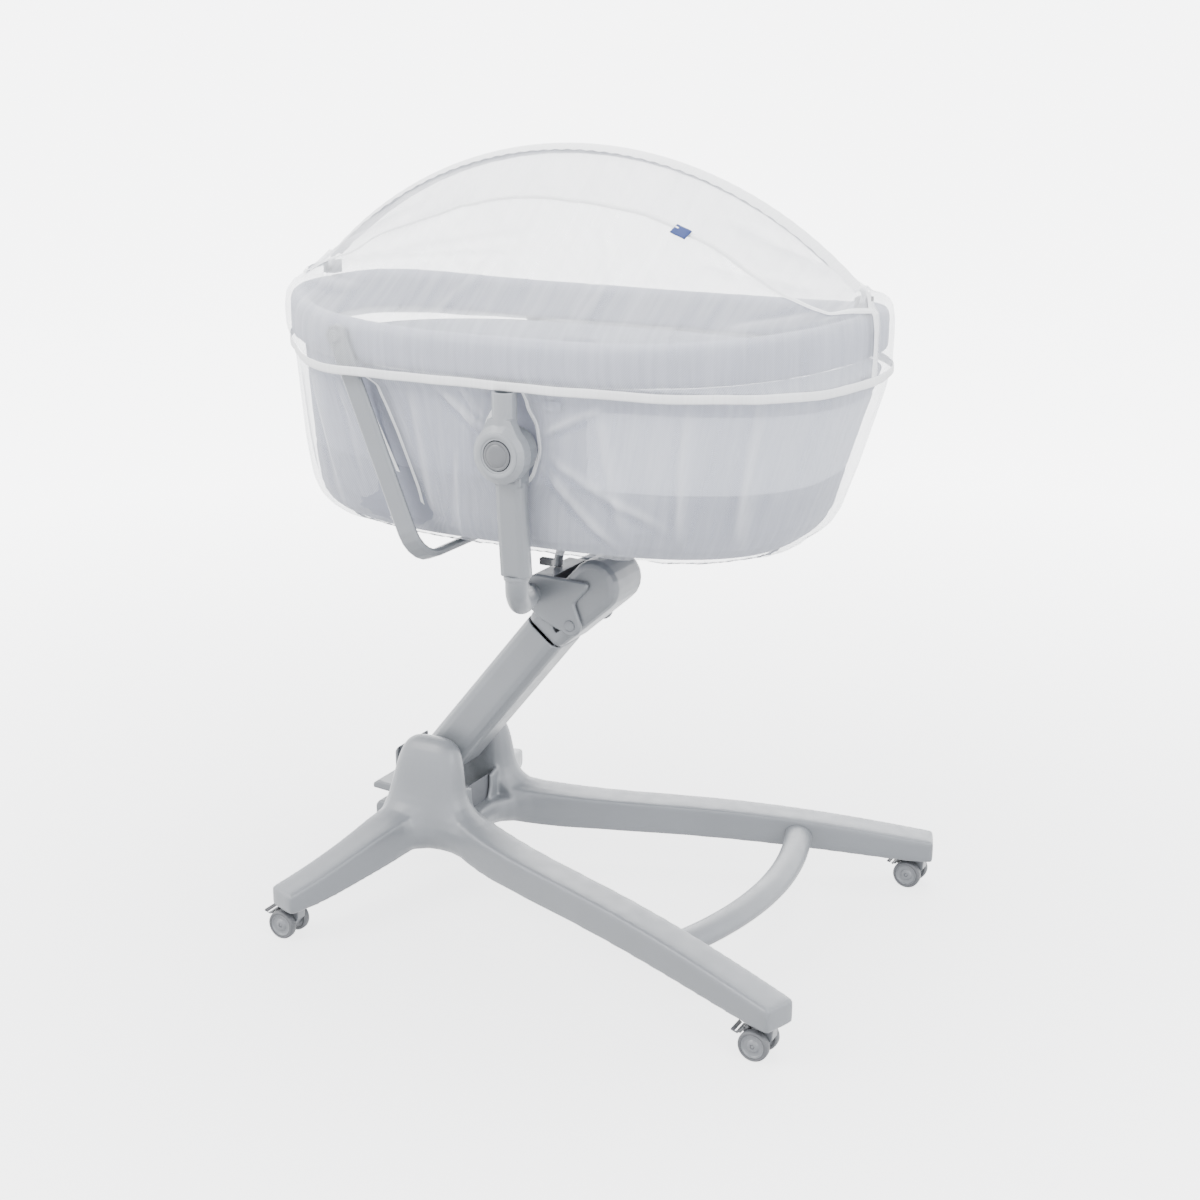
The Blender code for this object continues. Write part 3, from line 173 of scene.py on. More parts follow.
def steel(name, rgb, rough):
    mat, tree = new_material(name)
    lines = noise_node(tree, coordinates(tree), 60.0, 6.0, 0.6, (1, 30, 30))
    return finished(mat, node(
        tree, "ShaderNodeBsdfPrincipled", Metallic=1.0,
        Base_Color=ramp_mix(tree, lines, scaled(rgb, 0.85), rgb),
        Roughness=ranged(tree, lines, rough - 0.08, rough + 0.1, 0.3, 0.7)))


def weave(name, rgb, thread=900.0, strength=0.25, sheen=0.25):
    """Woven cloth: two crossed thread directions, soft cloudy shade and shallow creases."""
    mat, tree = new_material(name)
    coords = coordinates(tree)
    heights = []
    for axis in ("Z", "DIAGONAL"):
        tex = node(tree, "ShaderNodeTexWave", Vector=coords, Scale=thread / 6.0, Distortion=1.5,
                   Detail=2.0)
        tex.bands_direction = axis
        heights.append(tex.outputs["Fac"])
    cloud = noise_node(tree, coords, 7.0, 4.0)
    speckle = noise_node(tree, coords, 700.0, 2.0)
    shade = math_node(tree, "MULTIPLY_ADD", speckle, 0.5, cloud)
    crease = bump(tree, noise_node(tree, coords, 16.0, 3.0), 0.10, 0.02)
    crossed = math_node(tree, "MULTIPLY", *heights)
    return finished(mat, node(
        tree, "ShaderNodeBsdfPrincipled", Roughness=0.9, Sheen_Weight=sheen, Sheen_Roughness=0.5,
        Base_Color=ramp_mix(tree, shade, scaled(rgb, 1 - 0.05), scaled(rgb, 1 + 0.05), 0.5, 0.95),
        Normal=bump(tree, crossed, strength, 0.0006, crease)))


def sheer(name, rgb, cover, streak, across):
    """Tulle: part of the light passes straight through, less where the cloth is gathered."""
    mat, tree = new_material(name)
    uv = coordinates(tree, "UV")
    front = node(tree, "ShaderNodeBsdfDiffuse", Color=(*rgb, 1))
    back = node(tree, "ShaderNodeBsdfTranslucent", Color=(*rgb, 1))
    clear = node(tree, "ShaderNodeBsdfTransparent", Color=(1, 1, 1, 1))
    cloth = node(tree, "ShaderNodeMixShader", 0.42, front.outputs[0], back.outputs[0])
    folds = noise_node(tree, uv, 1.0, 4.0, 0.6, (across, 4.0, 1))
    broad = noise_node(tree, uv, 1.0, 3.0, 0.5, (12, 5, 1))
    threads = node(tree, "ShaderNodeTexWave", Vector=uv, Scale=180.0, Distortion=0.6)
    threads.bands_direction = "DIAGONAL"
    # Read the fold attribute: denser cover on fold ridges and thinner cover beside them, partly
    # gathered cloth and partly painted highlight and shade.
    fold = tree.nodes.new("ShaderNodeAttribute")
    fold.attribute_name = "fold"
    level = ranged(tree, folds, cover - streak, cover + streak, 0.25, 0.75)
    for extra in (ranged(tree, broad, -streak / 2, streak / 2, 0.2, 0.8),
                  ranged(tree, threads.outputs["Fac"], -0.05, 0.05, 0.2, 0.8),
                  fold.outputs["Fac"]):
        level = math_node(tree, "ADD", level, extra)
    limit = node(tree, "ShaderNodeClamp", Value=level, Min=0.08, Max=0.97)
    return finished(mat, node(tree, "ShaderNodeMixShader", limit.outputs[0], clear.outputs[0],
                              cloth.outputs[0]))


def elastic(name, rgb, ribs=260.0):
    """Ribbed white band; its ribs run across the length given by the UV map. The grooves between
    the ribs are coloured darker: painted shade.
    """
    mat, tree = new_material(name)
    rib = noise_node(tree, coordinates(tree, "UV"), 1.0, 2.0, 0.4, (ribs, 6, 1))
    return finished(mat, node(
        tree, "ShaderNodeBsdfPrincipled", Roughness=0.85,
        # Darker colour in the grooves, from the same rib pattern as the bump: painted shade.
        Base_Color=ramp_mix(tree, rib, scaled(rgb, 0.90), rgb),
        Normal=bump(tree, rib, 0.5, 0.0012)))


M = {
    "frame": plastic("frame_plastic", (0.163, 0.173, 0.187), 0.40),
    # A shaded copy of the frame plastic at about half its brightness: painted shade, used on the
    # joint pods and on the sheet at the back of the bay.
    "frame_shade": plastic("frame_shadow_plastic", (0.085, 0.09, 0.10), 0.5),
    "joint": plastic("joint_plastic", (0.215, 0.226, 0.243), 0.38),
    "button": plastic("button_plastic", (0.075, 0.079, 0.087), 0.36, spread=0.08),
    "tyre": plastic("tyre_rubber", (0.060, 0.063, 0.070), 0.55, 0.25),
    "hub": plastic("hub_plastic", (0.150, 0.157, 0.170), 0.35),
    "brake": plastic("brake_plastic", (0.070, 0.073, 0.080), 0.5, 0.3),
    "clip": plastic("clip_plastic", (0.035, 0.036, 0.04), 0.4),
    "steel": steel("pin_steel", (0.62, 0.63, 0.65), 0.32),
    "tub": weave("tub_fabric", (0.285, 0.30, 0.37)),
    "tub_dark": weave("tub_lower_fabric", (0.225, 0.238, 0.295)),
    "tub_light": weave("tub_mesh_window", (0.46, 0.478, 0.55), 500.0, 0.6),
    "rim": weave("rim_fabric", (0.265, 0.28, 0.35), 800.0, 0.3),
    "lining": weave("lining_fabric", (0.46, 0.48, 0.545)),
    "mattress": weave("mattress_cover", (0.80, 0.81, 0.84), 400.0, 0.4),
    "board": plastic("hardboard", (0.50, 0.46, 0.40), 0.8, 0.5, 0.15),
    "net": sheer("net_tulle", (0.94, 0.95, 0.97), 0.36, 0.09, 60.0),
    "net_top": sheer("net_top_tulle", (0.95, 0.955, 0.975), 0.55, 0.09, 50.0),
    "tape": elastic("elastic_tape", (0.93, 0.935, 0.95)),
    "ribbon": elastic("edge_ribbon", (0.92, 0.925, 0.94), 400.0),
    "rod": plastic("rod_plastic", (0.80, 0.81, 0.83), 0.35),
    "label": weave("plain_label", (0.27, 0.285, 0.36), 1400.0, 0.2),
    "tag": weave("plain_tag", (0.012, 0.030, 0.13), 1400.0, 0.3, 0.1),
}


# ---------------------------------------------------------------- building helpers
def link_object(name, data):
    item = bpy.data.objects.new(name, data)
    bpy.context.scene.collection.objects.link(item)
    return item


def paint(mesh, *materials):
    mesh.materials.clear()
    for material in materials:
        mesh.materials.append(material)


def add_object(name, mesh, material, body):
    """A smooth visible piece; without a body it is given one later, or only has its placement
    baked in.
    """
    item = link_object(name, mesh)
    paint(mesh, *(material if isinstance(material, list) else [material]))
    mesh.shade_smooth()
    if body:
        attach(item, body)
    return item


def modify(item, kind, **settings):
    step = item.modifiers.new(kind.title(), kind)
    for key, value in settings.items():
        setattr(step, key, value)
    return step


def weld(mesh, distance, outward):
    """Merge points that lie together and, on a solid, turn the faces outwards."""
    work = bmesh.new()
    work.from_mesh(mesh)
    bmesh.ops.remove_doubles(work, verts=work.verts, dist=distance)
    if outward:
        bmesh.ops.recalc_face_normals(work, faces=work.faces)
    work.to_mesh(mesh)
    work.free()


def close_ends(mesh, points, ends):
    """Close two rows of a grid with one face each and drop the strip between them."""
    columns, rows = points.shape[:2]
    work = bmesh.new()
    work.from_mesh(mesh)
    strip = [face for face in work.faces if {v.index % rows for v in face.verts} == set(ends)]
    work.verts.ensure_lookup_table()
    for row in ends:
        work.faces.new([work.verts[i * rows + row] for i in range(columns)])
    bmesh.ops.delete(work, geom=strip, context="FACES_ONLY")
    bmesh.ops.recalc_face_normals(work, faces=work.faces)
    work.to_mesh(mesh)
    work.free()


def unit(a):
    return a / (np.linalg.norm(a, axis=-1)[..., None] + 1e-12)


def run_length(line):
    """Length along a line of points, from its first point."""
    return np.concatenate([[0], np.cumsum(np.linalg.norm(np.diff(line, axis=0), axis=1))])


def smooth_line(line, rounds):
    for _ in range(rounds):
        line[1:-1] = (line[:-2] + 2 * line[1:-1] + line[2:]) / 4
    return line


def lifted(plan, normal, offset, z):
    """Plan points pushed out along their normals and set at a height."""
    return np.concatenate([plan + normal * np.reshape(offset, (-1, 1)), z[:, None]], 1)


def apply_modifiers(item):
    graph = bpy.context.evaluated_depsgraph_get()
    made = bpy.data.meshes.new_from_object(item.evaluated_get(graph))
    item.modifiers.clear()
    item.data = made
    made.shade_smooth()
    return item


def soft_copy(sources, name, voxel, rounds, material):
    """The shape of one or more CAD nodes with its edges rounded, shown in their place."""
    sources = [sources] if isinstance(sources, str) else sources
    work = bmesh.new()
    for source in sources:
        work.from_mesh(NODES[source].data)
    mesh = bpy.data.meshes.new(name)
    work.to_mesh(mesh)
    work.free()
    item = link_object(name, mesh)
    modify(item, "REMESH", mode="VOXEL", voxel_size=voxel)
    modify(item, "SMOOTH", factor=0.5, iterations=rounds)
    apply_modifiers(item)
    paint(item.data, material)
    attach(item, NODES[sources[0]]["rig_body"])
    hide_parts(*sources)
    return item


def bevelled(source, material, width):
    """A CAD node kept as it is, with small rounded edges."""
    item = NODES[source]
    paint(item.data, material)
    modify(item, "BEVEL", width=width, segments=2, limit_method="ANGLE",
           angle_limit=math.radians(35), harden_normals=True)
    return item


def block(name, low, high, material, body, width):
    """A box with rounded edges."""
    work = bmesh.new()
    bmesh.ops.create_cube(work, size=1.0)
    bmesh.ops.scale(work, verts=work.verts, vec=Vector(high) - Vector(low))
    bmesh.ops.translate(work, verts=work.verts, vec=(Vector(high) + Vector(low)) / 2)
    bmesh.ops.bevel(work, geom=work.edges[:], offset=width, segments=3, affect="EDGES",
                    profile=0.5)
    mesh = bpy.data.meshes.new(name)
    work.to_mesh(mesh)
    work.free()
    item = add_object(name, mesh, material, body)
    mesh.set_sharp_from_angle(angle=math.radians(50))
    return item


def grid_mesh(name, points, uvs=None, closed_u=False, closed_v=False, skip=None):
    """Mesh of a (columns, rows, 3) array; uvs is (columns, rows, 2)."""
    columns, rows = points.shape[:2]
    mesh = bpy.data.meshes.new(name)
    mesh.vertices.add(columns * rows)
    mesh.vertices.foreach_set("co", points.reshape(-1).astype(np.float32))
    i = np.arange(columns if closed_u else columns - 1)
    j = np.arange(rows if closed_v else rows - 1)
    gi, gj = np.meshgrid(i, j, indexing="ij")
    if skip is not None:
        keep = ~skip[gi, gj]
        gi, gj = gi[keep], gj[keep]
    ni, nj = (gi + 1) % columns, (gj + 1) % rows
    faces = np.stack([gi * rows + gj, ni * rows + gj, ni * rows + nj, gi * rows + nj], -1)
    faces = faces.reshape(-1, 4)
    mesh.loops.add(faces.size)
    mesh.loops.foreach_set("vertex_index", faces.reshape(-1).astype(np.int32))
    mesh.polygons.add(len(faces))
    mesh.polygons.foreach_set("loop_start", np.arange(0, faces.size, 4, dtype=np.int32))
    mesh.update(calc_edges=True)
    if uvs is not None:
        layer = mesh.uv_layers.new(name="UVMap")
        layer.data.foreach_set("uv", uvs.reshape(-1, 2)[faces.reshape(-1)].reshape(-1)
                               .astype(np.float32))
    mesh.validate()
    return mesh


def ring_solid(name, points, material, body, sharp):
    """A solid from rings of points that shrink to nothing at its ends."""
    mesh = grid_mesh(name, points, closed_u=True)
    weld(mesh, 0.00002, True)
    item = add_object(name, mesh, material, body)
    mesh.set_sharp_from_angle(angle=math.radians(sharp))
    return item


def lathe(name, profile, centre, axis, material, body, steps=64):
    """A solid turned about an axis through centre; profile is (radius, along) pairs."""
    axis = Vector(axis).normalized()
    side = axis.orthogonal().normalized()
    up = axis.cross(side)
    angles = np.linspace(0, 2 * math.pi, steps, endpoint=False)
    ring = np.cos(angles)[:, None] * np.array(side) + np.sin(angles)[:, None] * np.array(up)
    profile = np.array(profile)
    points = (np.array(centre) + ring[:, None, :] * profile[None, :, 0, None]
              + np.array(axis) * profile[None, :, 1, None])
    return ring_solid(name, points, material, body, 38)


def tube(name, path, radii, material, body, steps=32, squash=1.0):
    """A closed round tube along a smooth path."""
    path = np.array(path, float)
    fine = np.linspace(0, len(path) - 1, (len(path) - 1) * 8 + 1)
    dense = catmull(path, fine)
    radii = np.interp(fine, np.arange(len(path)), radii)
    tangent = np.gradient(dense, axis=0)
    tangent /= np.linalg.norm(tangent, axis=1)[:, None]
    reference = np.cross(tangent[0], (0.3, 0.5, 0.8))
    a = np.linspace(0, 2 * math.pi, steps, endpoint=False)[:, None]
    rings = []
    for p, t, r in zip(dense, tangent, radii):
        reference = reference - t * (reference @ t)
        reference /= np.linalg.norm(reference)
        other = np.cross(t, reference)
        rings.append(p + r * (np.cos(a) * reference + np.sin(a) * other * squash))
    points = np.array(rings)
    start = np.repeat(points[:1].mean(1, keepdims=True), steps, 1)
    end = np.repeat(points[-1:].mean(1, keepdims=True), steps, 1)
    points = np.concatenate([start, points, end]).transpose(1, 0, 2)
    return ring_solid(name, points, material, body, 50)


def catmull(path, t):
    """Catmull-Rom curve through the points, at parameters t from 0 to len-1."""
    padded = np.concatenate([[2 * path[0] - path[1]], path, [2 * path[-1] - path[-2]]])
    i = np.clip(t.astype(int), 0, len(path) - 2)
    u = (t - i)[:, None]
    a, b, c, d = (padded[i + k] for k in range(4))
    return 0.5 * (2 * b + (c - a) * u + (2 * a - 5 * b + 4 * c - d) * u ** 2
                  + (3 * b - a - 3 * c + d) * u ** 3)


def field(points, scale, seed, detail=2):
    """Smooth noise from -1 to 1 at an array of 3-D points."""
    flat = (points * np.array(scale)).reshape(-1, 3) + seed * 17.3
    values = [sum(noise.noise(Vector(p) * (2 ** k)) / 2 ** k for k in range(detail))
              for p in flat]
    return np.array(values).reshape(points.shape[:-1])


# ---------------------------------------------------------------- outlines of the tub
COLUMNS = 640


def outline(theta, half_length, half_width, centre_x):
    """Plan points and outward normals of a superellipse."""
    c, s = np.cos(theta), np.sin(theta)
    x = half_length * np.sign(c) * np.abs(c) ** (2 / POWER)
    y = half_width * np.sign(s) * np.abs(s) ** (2 / POWER)
    nx = np.sign(c) * np.abs(x / half_length) ** (POWER - 1) / half_length
    ny = np.sign(s) * np.abs(y / half_width) ** (POWER - 1) / half_width
    length = np.hypot(nx, ny)
    return np.stack([x + centre_x, y], -1), np.stack([nx, ny], -1) / length[..., None]


def even_angles(count):
    """Plan angles spaced evenly along the rim, from the front end round by the far side."""
    dense = np.linspace(0, 2 * math.pi, 20001)
    p, _ = outline(dense, RIM_A, RIM_B, RIM_CX)
    length = np.concatenate([[0], np.cumsum(np.hypot(*np.diff(p, axis=0).T))])
    return np.interp(np.arange(count) / count * length[-1], length, dense), length[-1]


THETA, RIM_ROUND = even_angles(COLUMNS)
ARC = np.arange(COLUMNS) / COLUMNS * RIM_ROUND


def rim_rise(x):
    return RIM_RISE * np.minimum(1.0, np.abs((x - RIM_CX) / RIM_A)) ** 3


def arch_height(x, outside):
    reach = np.minimum(np.abs(x - ARCH_CX), ARCH_HALF)
    return ARCH_TOP - ARCH_R + np.sqrt((ARCH_R + outside) ** 2 - reach ** 2)


def tape_lift(x):
    """The tape climbs towards the rear end of the tub."""
    return 0.024 * np.clip(-(x + 0.22) / 0.265, 0, 1) ** 1.6


def bulge(x):
    """How far the net stands out where it passes over the bail's straps."""
    return 0.030 * np.exp(-((x - BAIL.x + 0.012) / 0.085) ** 2)


def tub_outline(theta, z, inset):
    drop = (TUB_TOP - z) / (TUB_TOP - TUB_BOTTOM)
    rear = -0.475 + 0.017 * drop + inset
    front = 0.461 - 0.082 * drop - inset
    half_width = 0.268 - 0.030 * drop - inset
    p, n = outline(theta, (front - rear) / 2, half_width, (front + rear) / 2)
    return np.concatenate([p, np.full((len(theta), 1), z)], 1), n


def along_profile(points, count, rounds=3):
    """Resample (columns, k, 3) profiles to count rows each, with softened corners."""
    step = np.linalg.norm(np.diff(points, axis=1), axis=-1)
    length = np.concatenate([np.zeros((len(points), 1)), np.cumsum(step, 1)], 1)
    share = length / length[:, -1:]
    want = np.linspace(0, 1, count)
    rows = np.stack([np.stack([np.interp(want, s, p[:, k]) for k in range(3)], -1)
                     for s, p in zip(share, points)])
    for _ in range(rounds):
        rows[:, 1:-1] = 0.25 * rows[:, :-2] + 0.5 * rows[:, 1:-1] + 0.25 * rows[:, 2:]
    return rows, length[:, -1]


def facing_out(points, centre, closed=True):
    """Unit normals of a grid of points, turned away from the centre."""
    du = np.roll(points, -1, 0) - np.roll(points, 1, 0) if closed else np.gradient(points, axis=0)
    normal = unit(np.cross(du, np.gradient(points, axis=1)))
    return normal * np.sign((normal * (points - np.array(centre))).sum(-1).mean())


# ---------------------------------------------------------------- tub, rim and mattress
WALL = 0.012
INNER_FLOOR = TUB_BOTTOM + 0.0125
UPPER_SEAM, LOWER_SEAM, FLOOR_SEAM = 0.905, 0.785, 0.716
UPRIGHT_SEAMS = (-0.12, 0.13, 0.30)
WINDOW_X = UPRIGHT_SEAMS[1]
SEAM_LEAN, SEAM_WIDTH = 0.05, 0.0035


def build_tub():
    """Fabric wall, floor and lining as one closed skin."""
    rows = list(np.linspace(TUB_TOP + 0.003, TUB_BOTTOM + TUB_CORNER, 44))
    insets = [0.0] * len(rows)
    for a in np.radians(np.linspace(6, 90, 12)):
        rows.append(TUB_BOTTOM + TUB_CORNER * (1 - math.sin(a)))
        insets.append(TUB_CORNER * (1 - math.cos(a)))
    shells = [tub_outline(THETA, z, inset) for z, inset in zip(rows, insets)]
    outer = np.stack([p for p, _ in shells], 1)
    normal = np.stack([n for _, n in shells], 1)
    x, z = outer[..., 0], outer[..., 2]
    puff = field(outer, (5, 5, 7), 1.0) * 0.0020 + field(outer, (14, 14, 20), 2.0) * 0.0010
    for seam in (UPPER_SEAM, LOWER_SEAM, FLOOR_SEAM):
        puff -= 0.0022 * np.exp(-((z - seam) / SEAM_WIDTH) ** 2)
    for at in UPRIGHT_SEAMS:
        near = np.exp(-((x - at - SEAM_LEAN * (z - 0.8)) / SEAM_WIDTH) ** 2)
        puff -= 0.0018 * near * (z > 0.79)
    close = np.exp(-((x - PIVOT[0]) / 0.05) ** 2)
    puff = puff * (1 - 0.9 * close) - 0.0016
    outer[..., :2] += normal * puff[..., None]
    inner = np.stack([tub_outline(THETA, max(height, INNER_FLOOR), inset + WALL)[0]
                      for height, inset in zip(rows[::-1], insets[::-1])], 1)
    points = np.concatenate([outer, inner], 1)
    mesh = grid_mesh("tub_fabric", points, closed_u=True, closed_v=True)
    close_ends(mesh, points, (len(rows) - 1, len(rows)))
    item = add_object("tub_fabric", mesh, [M["tub"], M["tub_light"], M["tub_dark"], M["lining"]],
                      "tub")
    for face in mesh.polygons:
        if len(face.vertices) > 4:
            continue
        centre = face.center
        if min(v % points.shape[1] for v in face.vertices) >= len(rows):
            face.material_index = 3
        elif centre.z < LOWER_SEAM:
            face.material_index = 2
        elif centre.z < UPPER_SEAM and WINDOW_X + SEAM_LEAN * (centre.z - 0.8) < centre.x:
            face.material_index = 1
    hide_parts("tub_shell")
    return item


CLOTH_FRAMES = 20


def pillow(item, pressure, cap):
    """Inflate a closed mesh a little with a short cloth run, so its cover sits like fabric."""
    modify(item, "REMESH", mode="VOXEL", voxel_size=0.005)
    apply_modifiers(item)
    before = np.array([v.co for v in item.data.vertices])
    cloth = modify(item, "CLOTH")
    for key, value in (("quality", 5), ("mass", 0.3), ("use_pressure", True),
                       ("uniform_pressure_force", pressure), ("tension_stiffness", 12),
                       ("compression_stiffness", 6), ("bending_stiffness", 0.4)):
        setattr(cloth.settings, key, value)
    cloth.settings.effector_weights.gravity = 0.0
    cloth.point_cache.frame_start = 1
    cloth.point_cache.frame_end = CLOTH_FRAMES
    scene = bpy.context.scene
    for f in range(1, CLOTH_FRAMES + 1):
        scene.frame_set(f)
        bpy.context.view_layer.update()
    graph = bpy.context.evaluated_depsgraph_get()
    after = np.array([v.co for v in item.evaluated_get(graph).data.vertices])
    item.modifiers.clear()
    scene.frame_set(1)
    shift = after - before
    length = np.linalg.norm(shift, axis=1)[:, None]
    shift *= np.minimum(1, cap / np.maximum(length, 1e-9))
    item.data.vertices.foreach_set("co", (before + shift).reshape(-1).astype(np.float32))
    item.data.update()
    modify(item, "SMOOTH", factor=0.5, iterations=3)
    return apply_modifiers(item)


RIM_HALF = 0.0155


def build_rim():
    """Padded rim with a round top, a seam about every half metre and soft waves."""
    p, n = outline(THETA, RIM_A - RIM_DEPTH, RIM_B - RIM_DEPTH, RIM_CX)
    lift = rim_rise(p[:, 0])
    mid = RIM_TOP - RIM_HALF
    section = [(0.0150, 0.9425)] + [(RIM_HALF, z) for z in (0.955, 0.968, 0.980)]
    section += [(RIM_HALF * math.cos(a), mid + RIM_HALF * math.sin(a))
                for a in np.radians(np.linspace(0, 180, 9))]
    section += [(-RIM_HALF, z) for z in (0.980, 0.968, 0.955)]
    section += [(-0.0150, 0.9425), (-0.009, 0.9405), (0.009, 0.9405)]
    points = np.stack([lifted(p, n, u, lift + v) for u, v in section], 1)
    wave = 0.5 + 0.5 * np.cos(2 * math.pi * ARC / 0.31)
    seam = np.exp(-((ARC % 0.52 - 0.26) / 0.004) ** 2)
    shrink = 0.0012 * seam + 0.0006 * wave
    for k, (u, v) in enumerate(section):
        points[:, k, :2] -= n * (math.copysign(1, u) * shrink)[:, None]
        if v > mid:
            points[:, k, 2] -= shrink
    mesh = grid_mesh("rim_padding", points, closed_u=True, closed_v=True)
    item = add_object("rim_padding", mesh, M["rim"], None)
    pillow(item, 3.0, 0.0020)
    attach(item, "tub")
    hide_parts("padded_rim")
    return item


def build_mattress():
    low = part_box("mattress")[0]
    levels = [(0.0, 0.040), (0.003, 0.0330), (0.010, 0.0300), (0.022, 0.0300), (0.032, 0.0345),
              (0.0355, 0.042)]
    points = np.stack([tub_outline(THETA[::2], low.z + up, inset)[0] for up, inset in levels], 1)
    mesh = grid_mesh("mattress_pad", points, closed_u=True)
    close_ends(mesh, points, (0, len(levels) - 1))
    item = add_object("mattress_pad", mesh, M["mattress"], None)
    pillow(item, 4.0, 0.0030)
    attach(item, "tub")
    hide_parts("mattress")
    return item


# ---------------------------------------------------------------- net
def canopy_profile(side):
    """Net from the tape over the rim to the arch, one profile for each column of that side."""
    inside = np.sin(THETA) * side > 1e-6
    theta = THETA[inside]
    if side < 0:
        theta = theta[::-1]
    ends = (np.radians(0.7), np.pi - np.radians(0.7))
    ends = ends if side > 0 else (2 * np.pi - ends[0], 2 * np.pi - ends[1])
    theta = np.concatenate([[ends[0]], theta, [ends[1]]])
    tape, tape_n = outline(theta, TAPE_A, TAPE_B, TAPE_CX)
    rim, rim_n = outline(theta, RIM_A - RIM_DEPTH, RIM_B - RIM_DEPTH, RIM_CX)
    rim = rim + rim_n * RIM_DEPTH
    out = bulge(rim[:, 0])
    lift = rim_rise(rim[:, 0])

    climb = tape_lift(tape[:, 0])
    p = [lifted(tape, tape_n, out + 0.0016, 0.9415 + climb)]
    for offset, z in ((0.0040, np.maximum(0.955 + climb, 0.938 + lift)), (0.0046, 0.982 + lift),
                      (0.0020, RIM_TOP - 0.004 + lift), (-0.0050, RIM_TOP + 0.0055 + lift)):
        p.append(lifted(rim, rim_n, out + offset, z))
    edge = p[-1]
    reach = ARCH_HALF + 0.004
    x = np.clip(rim[:, 0], ARCH_CX - reach, ARCH_CX + reach)
    z = np.maximum(arch_height(x, 0.0092), 1.072)
    top = np.stack([x, np.full_like(x, side * 0.0006), z], 1)
    width = np.abs(edge[:, 1])
    for t in (0.2, 0.4, 0.6, 0.8):
        q = edge * (1 - t) + top * t
        q[:, 2] -= 0.030 * width * 4 * t * (1 - t)
        p.append(q)
    p.append(top)
    return np.stack(p, 1)


CANOPY_ROWS = 110
RIM_LINE = 0.085  # length of net from the tape to just above the rim


def build_canopy(side, name):
    """One side of the net; its grid, normals, lengths up to the arch and length along the rim."""
    profile = canopy_profile(side)
    points, length = along_profile(profile, CANOPY_ROWS, 3)
    arc = run_length(profile[:, 1])
    normal = facing_out(points, (RIM_CX, 0, 0.9), closed=False)
    v = np.linspace(0, 1, CANOPY_ROWS)[None, :] * length[:, None]
    u = np.repeat(arc[:, None], CANOPY_ROWS, 1)
    left = length[:, None] - v
    place = np.stack([u, v, np.full_like(u, side)], -1)
    above = np.clip((v - RIM_LINE) / 0.05, 0, 1)
    reach = np.clip(left / 0.05, 0, 1)
    fine = field(place, (34, 3.2, 1), 3.0 + side) * 0.0020
    broad = field(place, (11, 4.0, 1), 5.0 + side) * 0.0050
    gather = field(place, (95, 9.0, 1), 7.0 + side) * 0.0012
    sway = field(place, (5, 6, 1), 9.0 + side) * 0.0040
    size = broad * above * reach + fine * (0.35 + 0.65 * above) * (0.3 + 0.7 * reach)
    size += sway * above * reach
    size += gather * np.exp(-v / 0.020) + gather * np.exp(-left / 0.03)
    size += 0.0012 * np.exp(-((v - 0.045) / 0.035) ** 2)
    points = points + normal * size[..., None]
    relief = fold_relief(points, CANOPY_FOLDS)
    points = points + normal * np.maximum(relief, -0.001)[..., None]
    mesh = grid_mesh(name, points, np.stack([u, v], -1))
    # Fold ridges and gathers drawn denser: partly real gathered cloth, partly painted highlight
    # and shade on the folds.
    set_fold(mesh, relief * 50 + gather * 45 * np.exp(-v / 0.030))
    item = add_object(name, mesh, [M["net"], M["net_top"]], None)
    return item, points, normal, length, float(arc[-1])


def add_ribbon(name, line, across, normal, width, lift, material, body, count=5):
    """A flat ribbon along a line of points, with its length in the UV map."""
    offsets = np.linspace(-width / 2, width / 2, count)
    points = (line[:, None, :] + across[:, None, :] * offsets[None, :, None]
              + normal[:, None, :] * lift)
    uv = np.stack(np.broadcast_arrays(run_length(line)[:, None], offsets[None, :] + width / 2), -1)
    return add_object(name, grid_mesh(name, points, uv), material, body)


def blend_net(item):
    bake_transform(item)


def seam_line(points, normal, length):
    """Where the front and top panels meet: its points, its normals and its share of the rows."""
    reach = np.minimum(1.0, np.abs((points[:, -1, 0] - RIM_CX) / RIM_A))
    share = 0.20 + 0.50 * (1 - reach ** 3)
    edge_share = RIM_LINE / length
    seam_at = np.clip(edge_share + (1 - edge_share) * share, 0.3, 0.93)
    index = seam_at * (CANOPY_ROWS - 1)
    low = index.astype(int)
    f = (index - low)[:, None]
    k = np.arange(len(points))
    seam = smooth_line(points[k, low] * (1 - f) + points[k, low + 1] * f, 6)
    return seam, unit(normal[k, low]), seam_at


def build_tag(seam, tangent, across, seam_n):
    """Plain tag sewn on the seam towards its front end."""
    at = int(np.argmin(np.abs(seam[:, 0] - 0.205)))
    t, a, n = tangent[at], across[at], seam_n[at]
    t = t * math.copysign(1, t[0])
    a = a * math.copysign(1, a[2])
    centre = seam[at] + n * 0.0045 - a * 0.004
    points = [[centre + t * w + a * h + n * 0.0012 * math.sin(w * 150)
               for h in np.linspace(-0.0095, 0.0095, 7)] for w in np.linspace(-0.0135, 0.0135, 9)]
    tag = add_object("plain_tag", grid_mesh("plain_tag", np.array(points)), M["tag"], None)
    modify(tag, "SOLIDIFY", thickness=0.0008)
    return apply_modifiers(tag)


